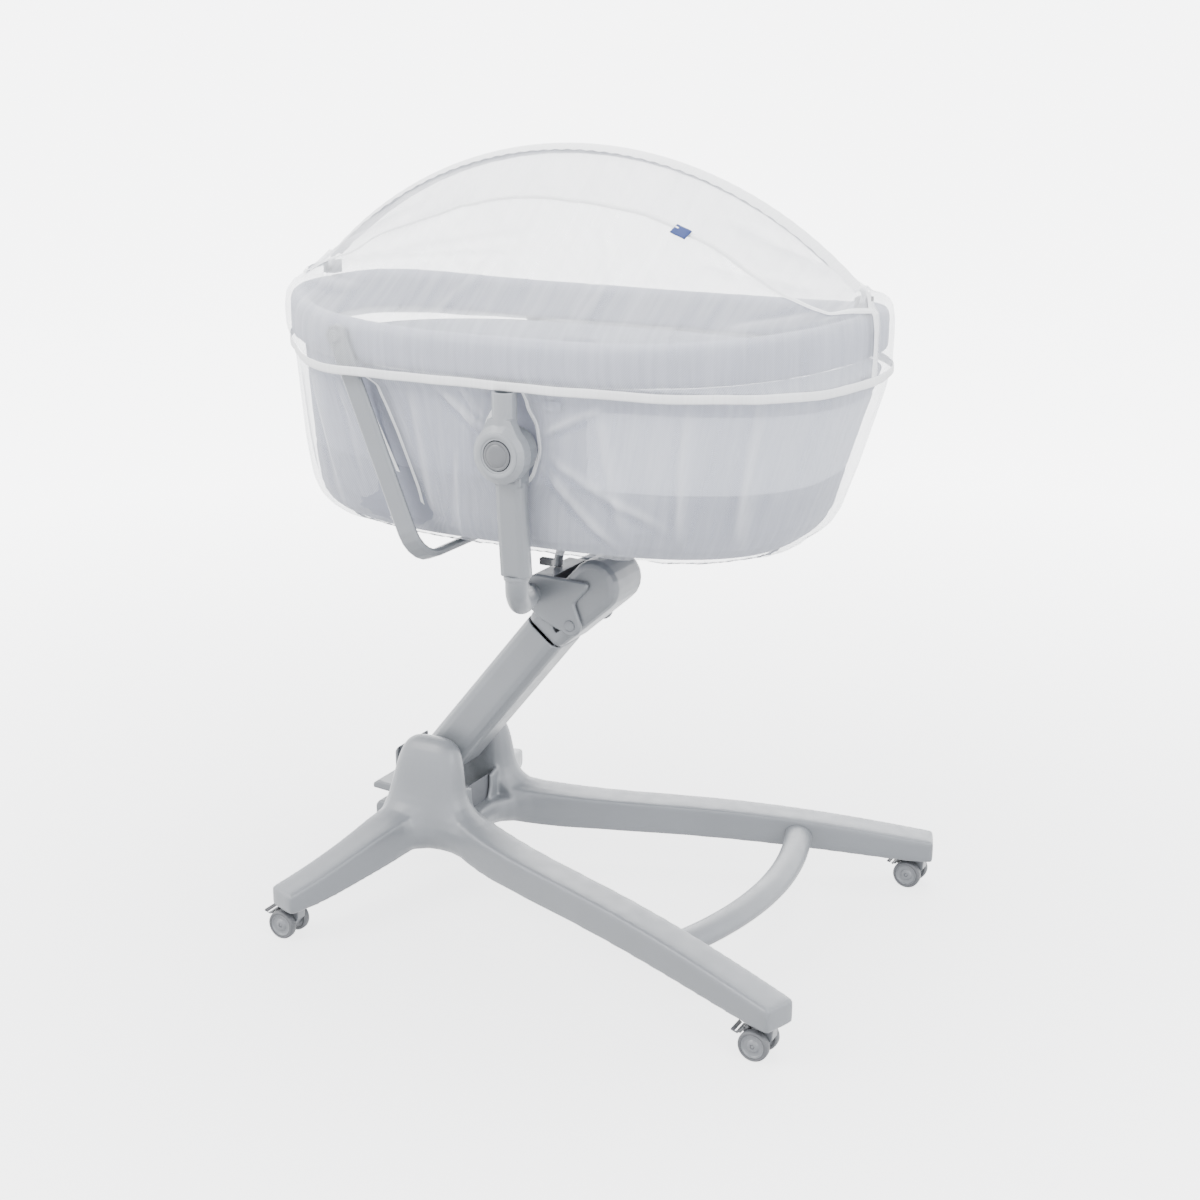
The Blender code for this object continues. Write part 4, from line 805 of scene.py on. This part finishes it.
def build_seam(item, points, normal, length):
    """The near side's seam, zip and tag; the net above the seam is the denser top panel."""
    seam, seam_n, seam_at = seam_line(points, normal, length)
    tangent = unit(np.gradient(seam, axis=0))
    across = unit(np.cross(seam_n, tangent))
    route = (seam[3:-3], across[3:-3], seam_n[3:-3])
    pieces = [add_ribbon("seam_band", *route, 0.0085, 0.0018, M["ribbon"], None),
              add_ribbon("seam_zip", *route, 0.0026, 0.0034, M["tape"], None, 3)]
    rows = np.linspace(0, 1, CANOPY_ROWS)
    for face in item.data.polygons:
        i, j = divmod(min(face.vertices), CANOPY_ROWS)
        face.material_index = int(rows[j] > seam_at[i])
    return pieces + [build_tag(seam, tangent, across, seam_n)]


def build_end_tape(points, normal, where):
    """Ribbon up the front end of one side of the net."""
    front = int(np.argmax(points[:, 0, 0]))
    column = front + (2 if front == 0 else -2)
    line, out = points[column, :-8], normal[column, :-8]
    across = unit(np.cross(out, unit(np.gradient(line, axis=0))))
    return add_ribbon(f"end_tape_{where}", line, across, out, 0.012, 0.0014, M["ribbon"], None)


def build_canopies():
    for side, name, nodes in ((-1, "net_near", ("net_front_panel", "net_top_panel")),
                              (1, "net_far", ("net_rear_panel",))):
        item, points, normal, length, run = build_canopy(side, name)
        extras = build_seam(item, points, normal, length) if side < 0 else []
        extras.append(build_end_tape(points, normal, "far" if side > 0 else "near"))
        for piece in extras + [item]:
            blend_net(piece)
        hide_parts(*nodes)


def build_sleeve():
    """White casing of the net that the arch runs in."""
    x = np.linspace(ARCH_CX - ARCH_HALF + 0.010, ARCH_CX + ARCH_HALF - 0.010, 240)
    z = arch_height(x, 0.0)
    mid = np.stack([x, 0 * x, z], 1)
    tangent = unit(np.gradient(mid, axis=0))
    normal = unit(np.cross(tangent, np.array([0, 1, 0])))
    rows = []
    for y, out in ((-0.0165, 0.0030), (-0.0125, 0.0066), (-0.006, 0.0104), (0, 0.0118),
                   (0.006, 0.0104), (0.0125, 0.0066), (0.0165, 0.0030)):
        pucker = 0.0007 * np.sin(x * 300 + 7 * y / 0.012) * (abs(y) / 0.0165)
        rows.append(mid + normal * (out + pucker)[:, None] + np.array([0, y, 0]))
    points = np.stack(rows, 1)
    u = run_length(mid)
    uv = np.stack(np.broadcast_arrays(u[:, None], np.linspace(0, 0.036, 7)[None, :]), -1)
    item = add_object("arch_sleeve", grid_mesh("arch_sleeve", points, uv), M["ribbon"], "arch")
    return item


# Half width of the skirt's openings at each height: behind a strap, and round a joint.
BAIL_SLIT = ([0.700, 0.712, 0.760, 0.850, 0.934], [0.0, 0.008, 0.0165, 0.0205, 0.0215])
JOINT_SLIT = ([0.768, 0.778, 0.800, 0.840, 0.880, 0.905, 0.934],
              [0.0, 0.017, 0.037, 0.0465, 0.040, 0.026, 0.0215])
BAIL_SLIT_X = -0.236


SKIRT_ROWS = 90


def skirt_surface():
    tape, tape_n = outline(THETA, TAPE_A - 0.002, TAPE_B - 0.002, TAPE_CX)
    out = bulge(tape[:, 0])
    first = lifted(tape, tape_n, out, 0.9375 + tape_lift(tape[:, 0]))
    near_joint = np.exp(-((tape[:, 0] - PIVOT[0]) / 0.075) ** 2) * (np.abs(tape[:, 1]) > 0.2)
    near_bail = np.exp(-((tape[:, 0] + 0.225) / 0.070) ** 2) * (np.abs(tape[:, 1]) > 0.2)
    tight = np.clip(1 - near_joint - near_bail, 0, 1)
    levels = [first]
    for z, gap, billow in ((0.915, 0.0095, 0.003), (0.885, 0.0060, 0.006), (0.84, 0.0038, 0.0085),
                           (0.79, 0.0035, 0.0095), (0.75, 0.0035, 0.008)):
        p, n = tub_outline(THETA, z, 0.0)
        p[:, :2] += n * (gap + billow * tight)[:, None]
        levels.append(p)
    corner = TUB_CORNER + 0.0035
    for degrees, billow in ((0, 0.0065), (25, 0.005), (45, 0.004), (62, 0.003), (76, 0.002),
                            (88, 0.001)):
        a = math.radians(degrees)
        p, n = tub_outline(THETA, TUB_BOTTOM - 0.0035 + corner * (1 - math.sin(a)),
                           corner * (1 - math.cos(a)) - 0.0035)
        p[:, :2] += n * (billow * math.cos(a) * tight)[:, None]
        levels.append(p)
    points, length = along_profile(np.stack(levels, 1), SKIRT_ROWS, 2)
    return points, length, tight


SKIRT_FOLDS = ((-0.100, 0.925, -0.020, 0.858, 0.0050, 0.0060),
               (-0.055, 0.928, -0.028, 0.880, 0.0036, 0.0045),
               (-0.365, 0.940, -0.335, 0.700, 0.0050, 0.0075),
               (-0.405, 0.940, -0.385, 0.720, 0.0042, 0.0065),
               (-0.300, 0.925, -0.270, 0.740, 0.0034, 0.0055),
               (-0.150, 0.925, -0.135, 0.700, 0.0040, 0.0070),
               (-0.075, 0.830, -0.095, 0.690, 0.0032, 0.0060),
               (0.068, 0.820, 0.175, 0.700, 0.0048, 0.0065),
               (0.072, 0.838, 0.250, 0.735, 0.0044, 0.0070),
               (0.070, 0.868, 0.170, 0.915, 0.0040, 0.0055),
               (0.160, 0.925, 0.190, 0.720, 0.0034, 0.0080),
               (0.290, 0.925, 0.265, 0.710, 0.0040, 0.0070),
               (0.385, 0.930, 0.335, 0.700, 0.0044, 0.0070))


def fold_relief(points, folds):
    """Ridges along straight folds given by their ends in X and Z, with height and half width."""
    x, z = points[..., 0], points[..., 2]
    size = np.zeros(x.shape)
    for x0, z0, x1, z1, high, wide in folds:
        run = np.array([x1 - x0, z1 - z0])
        length = np.hypot(*run)
        along = ((x - x0) * run[0] + (z - z0) * run[1]) / length ** 2
        aside = ((x - x0) * run[1] - (z - z0) * run[0]) / length
        ends = np.clip(np.minimum(along, 1 - along) / 0.25 + 0.15, 0, 1)
        size += high * ends * (np.exp(-(aside / wide) ** 2)
                               - 0.45 * np.exp(-((aside - 1.9 * wide) / wide) ** 2))
    return size


CANOPY_FOLDS = ((-0.445, 1.075, -0.250, 1.165, 0.0040, 0.0060),
                (-0.445, 1.060, -0.180, 1.105, 0.0034, 0.0055),
                (-0.450, 1.050, -0.260, 1.055, 0.0030, 0.0050),
                (0.425, 1.080, 0.250, 1.160, 0.0040, 0.0060),
                (0.430, 1.060, 0.230, 1.105, 0.0034, 0.0060),
                (0.435, 1.045, 0.330, 1.030, 0.0030, 0.0050),
                (-0.120, 1.015, -0.060, 1.120, 0.0024, 0.0070),
                (0.120, 1.015, 0.140, 1.110, 0.0024, 0.0070))


def set_fold(mesh, values):
    """Store how much denser the net is drawn where it is folded: partly real gathered cloth,
    partly a painted highlight on fold ridges and painted shade beside them.
    """
    layer = mesh.attributes.new("fold", "FLOAT", "POINT")
    layer.data.foreach_set("value", values.reshape(-1).astype(np.float32))


def skirt_slits():
    """The openings in order round the rim, as (column, whether by the bail, side)."""
    rim, _ = outline(THETA, RIM_A, RIM_B, RIM_CX)
    slits = []
    for x0, near_bail in ((PIVOT[0], False), (BAIL_SLIT_X, True)):
        for side in (-1, 1):
            gap = np.hypot(rim[:, 0] - x0, rim[:, 1] - side * 0.28)
            slits.append((int(np.argmin(gap)), near_bail, side))
    return sorted(slits)


def open_slits(points, normal):
    """The skirt moved aside at its openings, and each opening's two edges."""
    z = points[..., 2]
    shifted = points.copy()
    step = unit(np.roll(points, -1, 0) - np.roll(points, 1, 0))
    edges = {}
    for at, near_bail, side in skirt_slits():
        away = (np.arange(COLUMNS) - at + COLUMNS // 2) % COLUMNS - COLUMNS // 2
        distance = (away * RIM_ROUND / COLUMNS)[:, None]
        direction = np.where(away >= 0, 1.0, -1.0)[:, None]
        half = np.interp(z, *(BAIL_SLIT if near_bail else JOINT_SLIT))
        lean = np.zeros_like(z)
        if near_bail:
            centre = BAIL.x + (BAIL.z - z) * BAIL_SLOPE
            weight = np.exp(-(distance / 0.115) ** 2) * np.clip((z - 0.665) / 0.05, 0, 1)
            lean = np.clip(centre - BAIL_SLIT_X, -0.03, 0.080) * weight
        shifted += step * (direction * (half * np.exp(-np.abs(distance) / 0.045)))[..., None]
        shifted[..., 0] += lean
        across = step[at] * half[at][:, None]
        left, right = points[at] - across, points[at] + across
        for edge in (left, right):
            edge[:, 0] += lean[at]
        edges[at] = (left, right, half[at] > 0, near_bail, side, normal[at])
    return shifted, edges


def slit_ribbons(edges):
    """A ribbon along each edge of each opening."""
    ribbons = []
    for left, right, row_on, near_bail, side, n in edges.values():
        rows = np.where(row_on)[0]
        rows = rows[rows >= 2]
        for label, edge in (("a", left), ("b", right)):
            line = smooth_line(edge[rows], 2)
            facing = unit(n[rows])
            across = unit(np.cross(facing, unit(np.gradient(line, axis=0))))
            kind = "bail" if near_bail else "joint"
            name = f"slit_edge_{kind}_{'far' if side > 0 else 'near'}_{label}"
            ribbons.append(add_ribbon(name, line, across, facing, 0.006, 0.0012, M["ribbon"],
                                      "tub"))
    return ribbons


def build_skirt():
    """Gathered net round the tub, open at the joints and behind the straps."""
    points, length, tight = skirt_surface()
    normal = facing_out(points, (RIM_CX, 0, 0.8))
    v = np.linspace(0, 1, SKIRT_ROWS)[None, :] * length[:, None]
    u = np.repeat(ARC[:, None], SKIRT_ROWS, 1)
    # Noise repeats round the loop because it is read on a circle.
    turn = 2 * math.pi * u / RIM_ROUND
    circle = RIM_ROUND / (2 * math.pi)
    place = np.stack([np.cos(turn) * circle, np.sin(turn) * circle, v], -1)
    soft = field(place, (16, 16, 3.0), 2.0) * 0.0042 + field(place, (6, 6, 4.0), 4.0) * 0.0035
    fine = field(place, (42, 42, 5.0), 6.0) * 0.0022
    pucker = field(place, (120, 120, 14.0), 8.0) * 0.0022
    hem = np.exp(-(length[:, None] - v) / 0.022)
    head = np.exp(-v / 0.020)
    size = (soft * tight[:, None] + fine * (0.4 + 0.6 * tight[:, None])) * (1 - 0.7 * head)
    size = size * (1 - 0.6 * hem) + pucker * (0.75 * hem + 0.5 * head)
    size += 0.0012 + np.maximum(fold_relief(points, SKIRT_FOLDS), -0.0015)
    points = points + normal * size[..., None]
    shifted, edges = open_slits(points, normal)
    # Each opening gets its own column of points on its other side.
    grid, owner, gaps = [], [], []
    for i in range(COLUMNS):
        if i in edges:
            left, right, row_on, *_ = edges[i]
            gaps.append(len(grid))
            grid += [np.where(row_on[:, None], edge, points[i]) for edge in (left, right)]
            owner += [i, i]
        else:
            grid.append(shifted[i])
            owner.append(i)
    grid = np.array(grid + grid[:1])
    owner.append(0)
    uv = np.stack([u[owner], v[owner]], -1)
    uv[-1, :, 0] = RIM_ROUND
    skip = np.zeros(grid.shape[:2], bool)
    skip[gaps] = True
    mesh = grid_mesh("net_skirt_cloth", grid, uv, skip=skip)
    gathers = (pucker * (hem + 0.6 * head))[owner]
    # Fold ridges and gathers drawn denser: partly real gathered cloth, partly painted highlight
    # and shade on the folds.
    set_fold(mesh, fold_relief(grid, SKIRT_FOLDS) * 62 + gathers * 85)
    weld(mesh, 0.000001, False)
    item = add_object("net_skirt_cloth", mesh, M["net"], "tub")
    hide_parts("net_skirt")
    down = np.tile((0.0, 0.0, -1.0), (len(grid), 1))
    inward = unit(grid[:, -1] - grid[:, -6])
    extras = slit_ribbons(edges)
    extras.append(add_ribbon("net_hem", grid[:, -3], inward, down, 0.009, 0.0006, M["tape"],
                             "tub"))
    return item


TAPE_HALF = 0.0056


def build_tape():
    """Elastic tape that holds the net below the rim."""
    p, n = outline(THETA, TAPE_A, TAPE_B, TAPE_CX)
    base = p + n * (bulge(p[:, 0]) + 0.0030)[:, None]
    climb = tape_lift(p[:, 0])
    turn = 2 * math.pi * ARC / RIM_ROUND
    circle = np.stack([np.cos(turn), np.sin(turn), 0 * turn], -1) * 0.44
    wave = field(circle, (14, 14, 14), 11.0, 1) * 0.0018
    curl = field(circle, (60, 60, 60), 12.0, 1) * 0.0010
    section = [(0.0004, TAPE_HALF), (0.0011, 0.0050), (0.0013, 0.0025), (0.0014, 0.0),
               (0.0013, -0.0025), (0.0011, -0.0050), (0.0004, -TAPE_HALF), (0.0, -0.0050),
               (0.0, 0.0), (0.0, 0.0050)]
    points = np.stack([lifted(base, n, a + curl * (b / TAPE_HALF), TAPE_Z + b * 1.2 + wave + climb)
                       for a, b in section], 1)
    points = np.concatenate([points, points[:1]])
    uv = np.stack(np.broadcast_arrays(np.append(ARC, RIM_ROUND)[:, None],
                                      np.array([b for _, b in section])[None, :] + 0.006), -1)
    mesh = grid_mesh("tape_band", points, uv, closed_v=True)
    item = add_object("tape_band", mesh, M["tape"], "tub")
    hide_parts("net_tape")
    return item


# ---------------------------------------------------------------- hard parts
def build_joints():
    x, z = PIVOT
    for name, side in (("left", 1), ("right", -1)):
        soft_copy(f"joint_cover_{name}", f"joint_shell_{name}", 0.0010, 5, M["joint"])
        axis = (0, side, 0)
        centre = (x, 0.3197 * side, z)
        ring = [(0.0262, -0.0006), (0.0262, 0.0010), (0.0270, 0.0016), (0.0325, 0.0016),
                (0.0333, 0.0010), (0.0333, -0.0006), (0.0262, -0.0006)]
        lathe(f"joint_ring_{name}", ring, centre, axis, M["joint"], "tub")
        face = [(0.0, -0.010), (0.0216, -0.010), (0.0219, -0.0008), (0.0214, 0.0004),
                (0.0185, 0.0011), (0.0178, 0.0006), (0.0170, 0.0006), (0.0163, 0.0012),
                (0.0100, 0.0019), (0.0, 0.0023)]
        place = (x, 0.3203 * side, z)
        button = lathe(f"button_cap_{name}", face, place, axis, M["button"], f"button_{name}")
        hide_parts(f"button_{name}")
        soft_copy(f"arm_sleeve_{name}", f"sleeve_{name}", 0.0012, 6, M["frame"])
        route = [(-0.0735, 0.0602, 0.5530), (-0.070, 0.074, 0.5545), (-0.032, 0.146, 0.572),
                 (0.007, 0.228, 0.594), (0.0195, 0.259, 0.616), (x, 0.268, 0.638),
                 (x, 0.268, 0.6486)]
        route = [(a, b * side, c) for a, b, c in route]
        arm = tube(f"arm_{name}", route, [0.0175] * len(route), M["frame"], "carrier",
                   40)
        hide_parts(f"yoke_arm_{name}")
        collar = [(0.0176, -0.004), (0.0193, -0.003), (0.0198, 0.0), (0.0193, 0.003),
                  (0.0176, 0.004)]
        lathe(f"arm_collar_{name}", collar, (x, 0.268 * side, 0.6465), (0, 0, 1), M["frame"],
              "carrier", 48)
        # The pods take the shaded copy of the frame plastic: painted shade.
        bevelled(f"joint_pod_{name}", M["frame_shade"], 0.0006)
        bevelled(f"side_plate_{name}", M["steel"], 0.0005)
        pin = bevelled(f"bail_pin_{name}", M["joint"], 0.0006)
        pin.data.shade_smooth()
        pin.data.set_sharp_from_angle(angle=math.radians(40))


BAY_BACK = -0.352


def build_stand():
    soft_copy("base_frame", "base_body", 0.0024, 16, M["frame"])
    soft_copy(["column_shell", "elbow_head"], "column_body", 0.0015, 8, M["frame"])
    # A thin dark sheet at the back of the bay in the shaded frame plastic: painted shade in the
    # recess.
    shade_sheet = block("bay_shade_sheet", (-0.2185, -0.040, 0.122), (-0.2168, 0.040, 0.180),
                  M["frame_shade"], "base", 0.0004)
    shade_sheet.data.shade_flat()
    path = [(0.327 - 0.79 * y ** 2, y, 0.0935) for y in np.linspace(-0.2285, 0.2285, 9)]
    bar = tube("cross_bar", path, [0.0230] * len(path), M["frame"], "base", 40,
               0.74)
    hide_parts("crossbar")
    for source, slot in (("rear_cover", "frame_grey"), ("pedal", "pale_plastic")):
        item = soft_copy(source, f"{source}_body", 0.0012, 14, M["frame"])
        # Behind the bay the CAD solids are longer than the real ones look.
        for vertex in item.data.vertices:
            behind = min(0.0, vertex.co.x - BAY_BACK)
            vertex.co.x -= behind * 0.24
    for source, voxel, rounds in (("yoke_bracket", 0.0012, 6), ("release_handle", 0.0010, 4),
                                  ("bail", 0.0014, 5)):
        soft_copy(source, f"{source}_body", voxel, rounds, M["frame"])
    for source in ("lower_pivot_pin", "lower_link_pin", "upper_pivot_pin", "upper_link_pin",
                   "level_rod", "column_foot", "rim_frame"):
        bevelled(source, M["steel"], 0.0005)
    for source in ("arch_socket_front", "hem_clip"):
        bevelled(source, M["clip"], 0.0008)
    bevelled("arch_socket_rear", M["joint"], 0.0008)
    bevelled("base_board", M["board"], 0.001)
    rod = bevelled("arch_rod", M["rod"], 0.0003)
    rod.data.shade_smooth()
    for side in (-1, 1):
        disc = [(0.0, 0.0004), (0.0072, 0.0006), (0.0085, 0.0012), (0.0090, 0.0020),
                (0.0090, -0.002)]
        lathe(f"pivot_cap_{'left' if side > 0 else 'right'}", disc,
              (-0.003, 0.0590 * side, 0.508), (0, side, 0), M["frame"], "carrier",
              40)


def build_casters():
    for name, (sx, sy) in CASTERS.items():
        centre = Vector((sx - 0.018, sy, 0.024))
        out = math.copysign(1, sy)
        for label, side in (("outer", out), ("inner", -out)):
            at = centre + Vector((0, 0.018 * side, 0))
            tyre = [(0.0185, -0.0062), (0.0212, -0.0068), (0.0228, -0.0060), (0.0238, -0.0040),
                    (0.0240, 0.0), (0.0238, 0.0040), (0.0228, 0.0060), (0.0212, 0.0068),
                    (0.0192, 0.0062), (0.0185, 0.0062), (0.0185, -0.0062)]
            ring = lathe(f"tyre_{label}_{name}", tyre, at, (0, side, 0), M["tyre"],
                         f"wheels_{name}", 72)
            hub = [(0.0034, -0.0050), (0.0182, -0.0050), (0.0186, 0.0052), (0.0178, 0.0060),
                   (0.0168, 0.0056), (0.0160, 0.0042), (0.0150, 0.0036), (0.0100, 0.0040),
                   (0.0085, 0.0056), (0.0062, 0.0062), (0.0048, 0.0064), (0.0034, 0.0062),
                   (0.0034, -0.0050)]
            lathe(f"hub_{label}_{name}", hub, at, (0, side, 0), M["hub"],
                  f"wheels_{name}", 64)
            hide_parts(f"wheel_{label}_{name}")
        soft_copy(f"caster_fork_{name}", f"fork_{name}", 0.0008, 3, M["hub"])
        soft_copy(f"brake_lever_{name}", f"brake_{name}", 0.0007, 2, M["brake"])


def wall_patch(name, x0, z0, side, inset, size, lift):
    """A plain sewn patch that follows the tub's wall, lifted off it by a little."""
    dense = np.linspace(0.02, math.pi - 0.02, 2000) * side
    columns = []
    for w in np.linspace(-size[0] / 2, size[0] / 2, 13):
        column = []
        for h in np.linspace(-size[1] / 2, size[1] / 2, 7):
            q, m = tub_outline(dense, z0 + h, inset)
            i = int(np.argmin(np.abs(q[:, 0] - x0 - w)))
            column.append((x0 + w, q[i, 1] + m[i, 1] * lift, z0 + h))
        columns.append(column)
    patch = add_object(name, grid_mesh(name, np.array(columns)), M["label"], None)
    modify(patch, "SOLIDIFY", thickness=0.0006, offset=0.0)
    apply_modifiers(patch)
    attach(patch, "tub")


def build_labels():
    """Plain patches on the outer wall and on the inner lining."""
    wall_patch("plain_label_side", 0.083, 0.908, -1, -0.0012, (0.030, 0.016), 0.0010)
    wall_patch("plain_label_inside", -0.150, 0.905, 1, 0.0125, (0.055, 0.020), -0.0010)


build_tub()
build_rim()
build_mattress()
build_canopies()
build_sleeve()
build_skirt()
build_tape()
build_joints()
build_stand()
build_casters()
build_labels()


# ---------------------------------------------------------------- floor, lights, camera
FLOOR_GLOW = (3.0, 6.0)  # emission strength near the middle and from 3.2 m out; the dimmer middle is a painted shadow round the base


def build_stage():
    profile = [(0.0, 0.0), (1.0, 0.0), (2.0, 0.0), (3.5, 0.0), (5.0, 0.0), (6.5, 0.0)]
    profile += [(6.5 + 2.5 * math.sin(a), 2.5 - 2.5 * math.cos(a))
                for a in np.radians(np.linspace(9, 90, 10))]
    profile += [(9.0, 5.0), (9.0, 9.0)]
    angles = np.linspace(0, 2 * math.pi, 96, endpoint=False)
    profile = np.array(profile)
    points = np.stack([np.cos(angles)[:, None] * profile[None, :, 0],
                       np.sin(angles)[:, None] * profile[None, :, 0],
                       np.broadcast_to(profile[None, :, 1], (96, len(profile)))], -1)
    mesh = grid_mesh("floor", points, closed_u=True)
    weld(mesh, 0.00001, False)
    mesh.shade_smooth()
    floor = link_object("floor", mesh)
    mat, tree = new_material("studio_floor")
    coords = coordinates(tree)
    far = tree.nodes.new("ShaderNodeVectorMath")
    far.operation = "LENGTH"
    tree.links.new(coords, far.inputs[0])
    paint(mesh, finished(mat, node(
        tree, "ShaderNodeBsdfPrincipled", Roughness=0.85, Emission_Color=(0.985, 0.99, 1.0, 1),
        Base_Color=ramp_mix(tree, noise_node(tree, coords, 1.3, 2.0), (0.29, 0.29, 0.29),
                            (0.31, 0.31, 0.31)),
        # Weaker glow near the middle darkens the floor round the base: painted shadow.
        Emission_Strength=ranged(tree, far.outputs["Value"], *FLOOR_GLOW, 0.5, 3.2))))
    # The backdrop's glow is seen but doesn't light the object from the sides.
    floor.visible_diffuse = False

    world = bpy.data.worlds.new("studio")
    world.use_nodes = True
    sky = world.node_tree.nodes["Background"].inputs
    sky["Color"].default_value = (0.96, 0.975, 1.0, 1)
    sky["Strength"].default_value = 1.35
    bpy.context.scene.world = world

    target = Vector((0, 0, 0.65))
    for name, place, energy, size, colour in (
            ("key", (-2.4, -2.6, 3.6), 240, 2.0, (1.0, 0.99, 0.97)),
            ("fill", (3.2, -1.6, 2.4), 150, 2.6, (0.96, 0.98, 1.0)),
            ("top", (0.2, 0.8, 4.2), 200, 2.6, (1.0, 1.0, 1.0)),
            ("back", (-1.2, 3.4, 2.2), 60, 2.4, (1.0, 1.0, 1.0))):
        light = bpy.data.lights.new(name, "AREA")
        light.energy = energy
        light.size = size
        light.color = colour
        lamp = link_object(name, light)
        lamp.location = place
        lamp.rotation_euler = (target - Vector(place)).to_track_quat("-Z", "Y").to_euler()

    data = bpy.data.cameras.new("camera")
    data.lens = 58.0
    data.sensor_width = 36.0
    camera = link_object("camera", data)
    camera.location = (1.425, -2.635, 1.449)
    camera.rotation_euler = (math.radians(90 - 16.95), 0, math.radians(28.05))
    bpy.context.scene.camera = camera


build_stage()
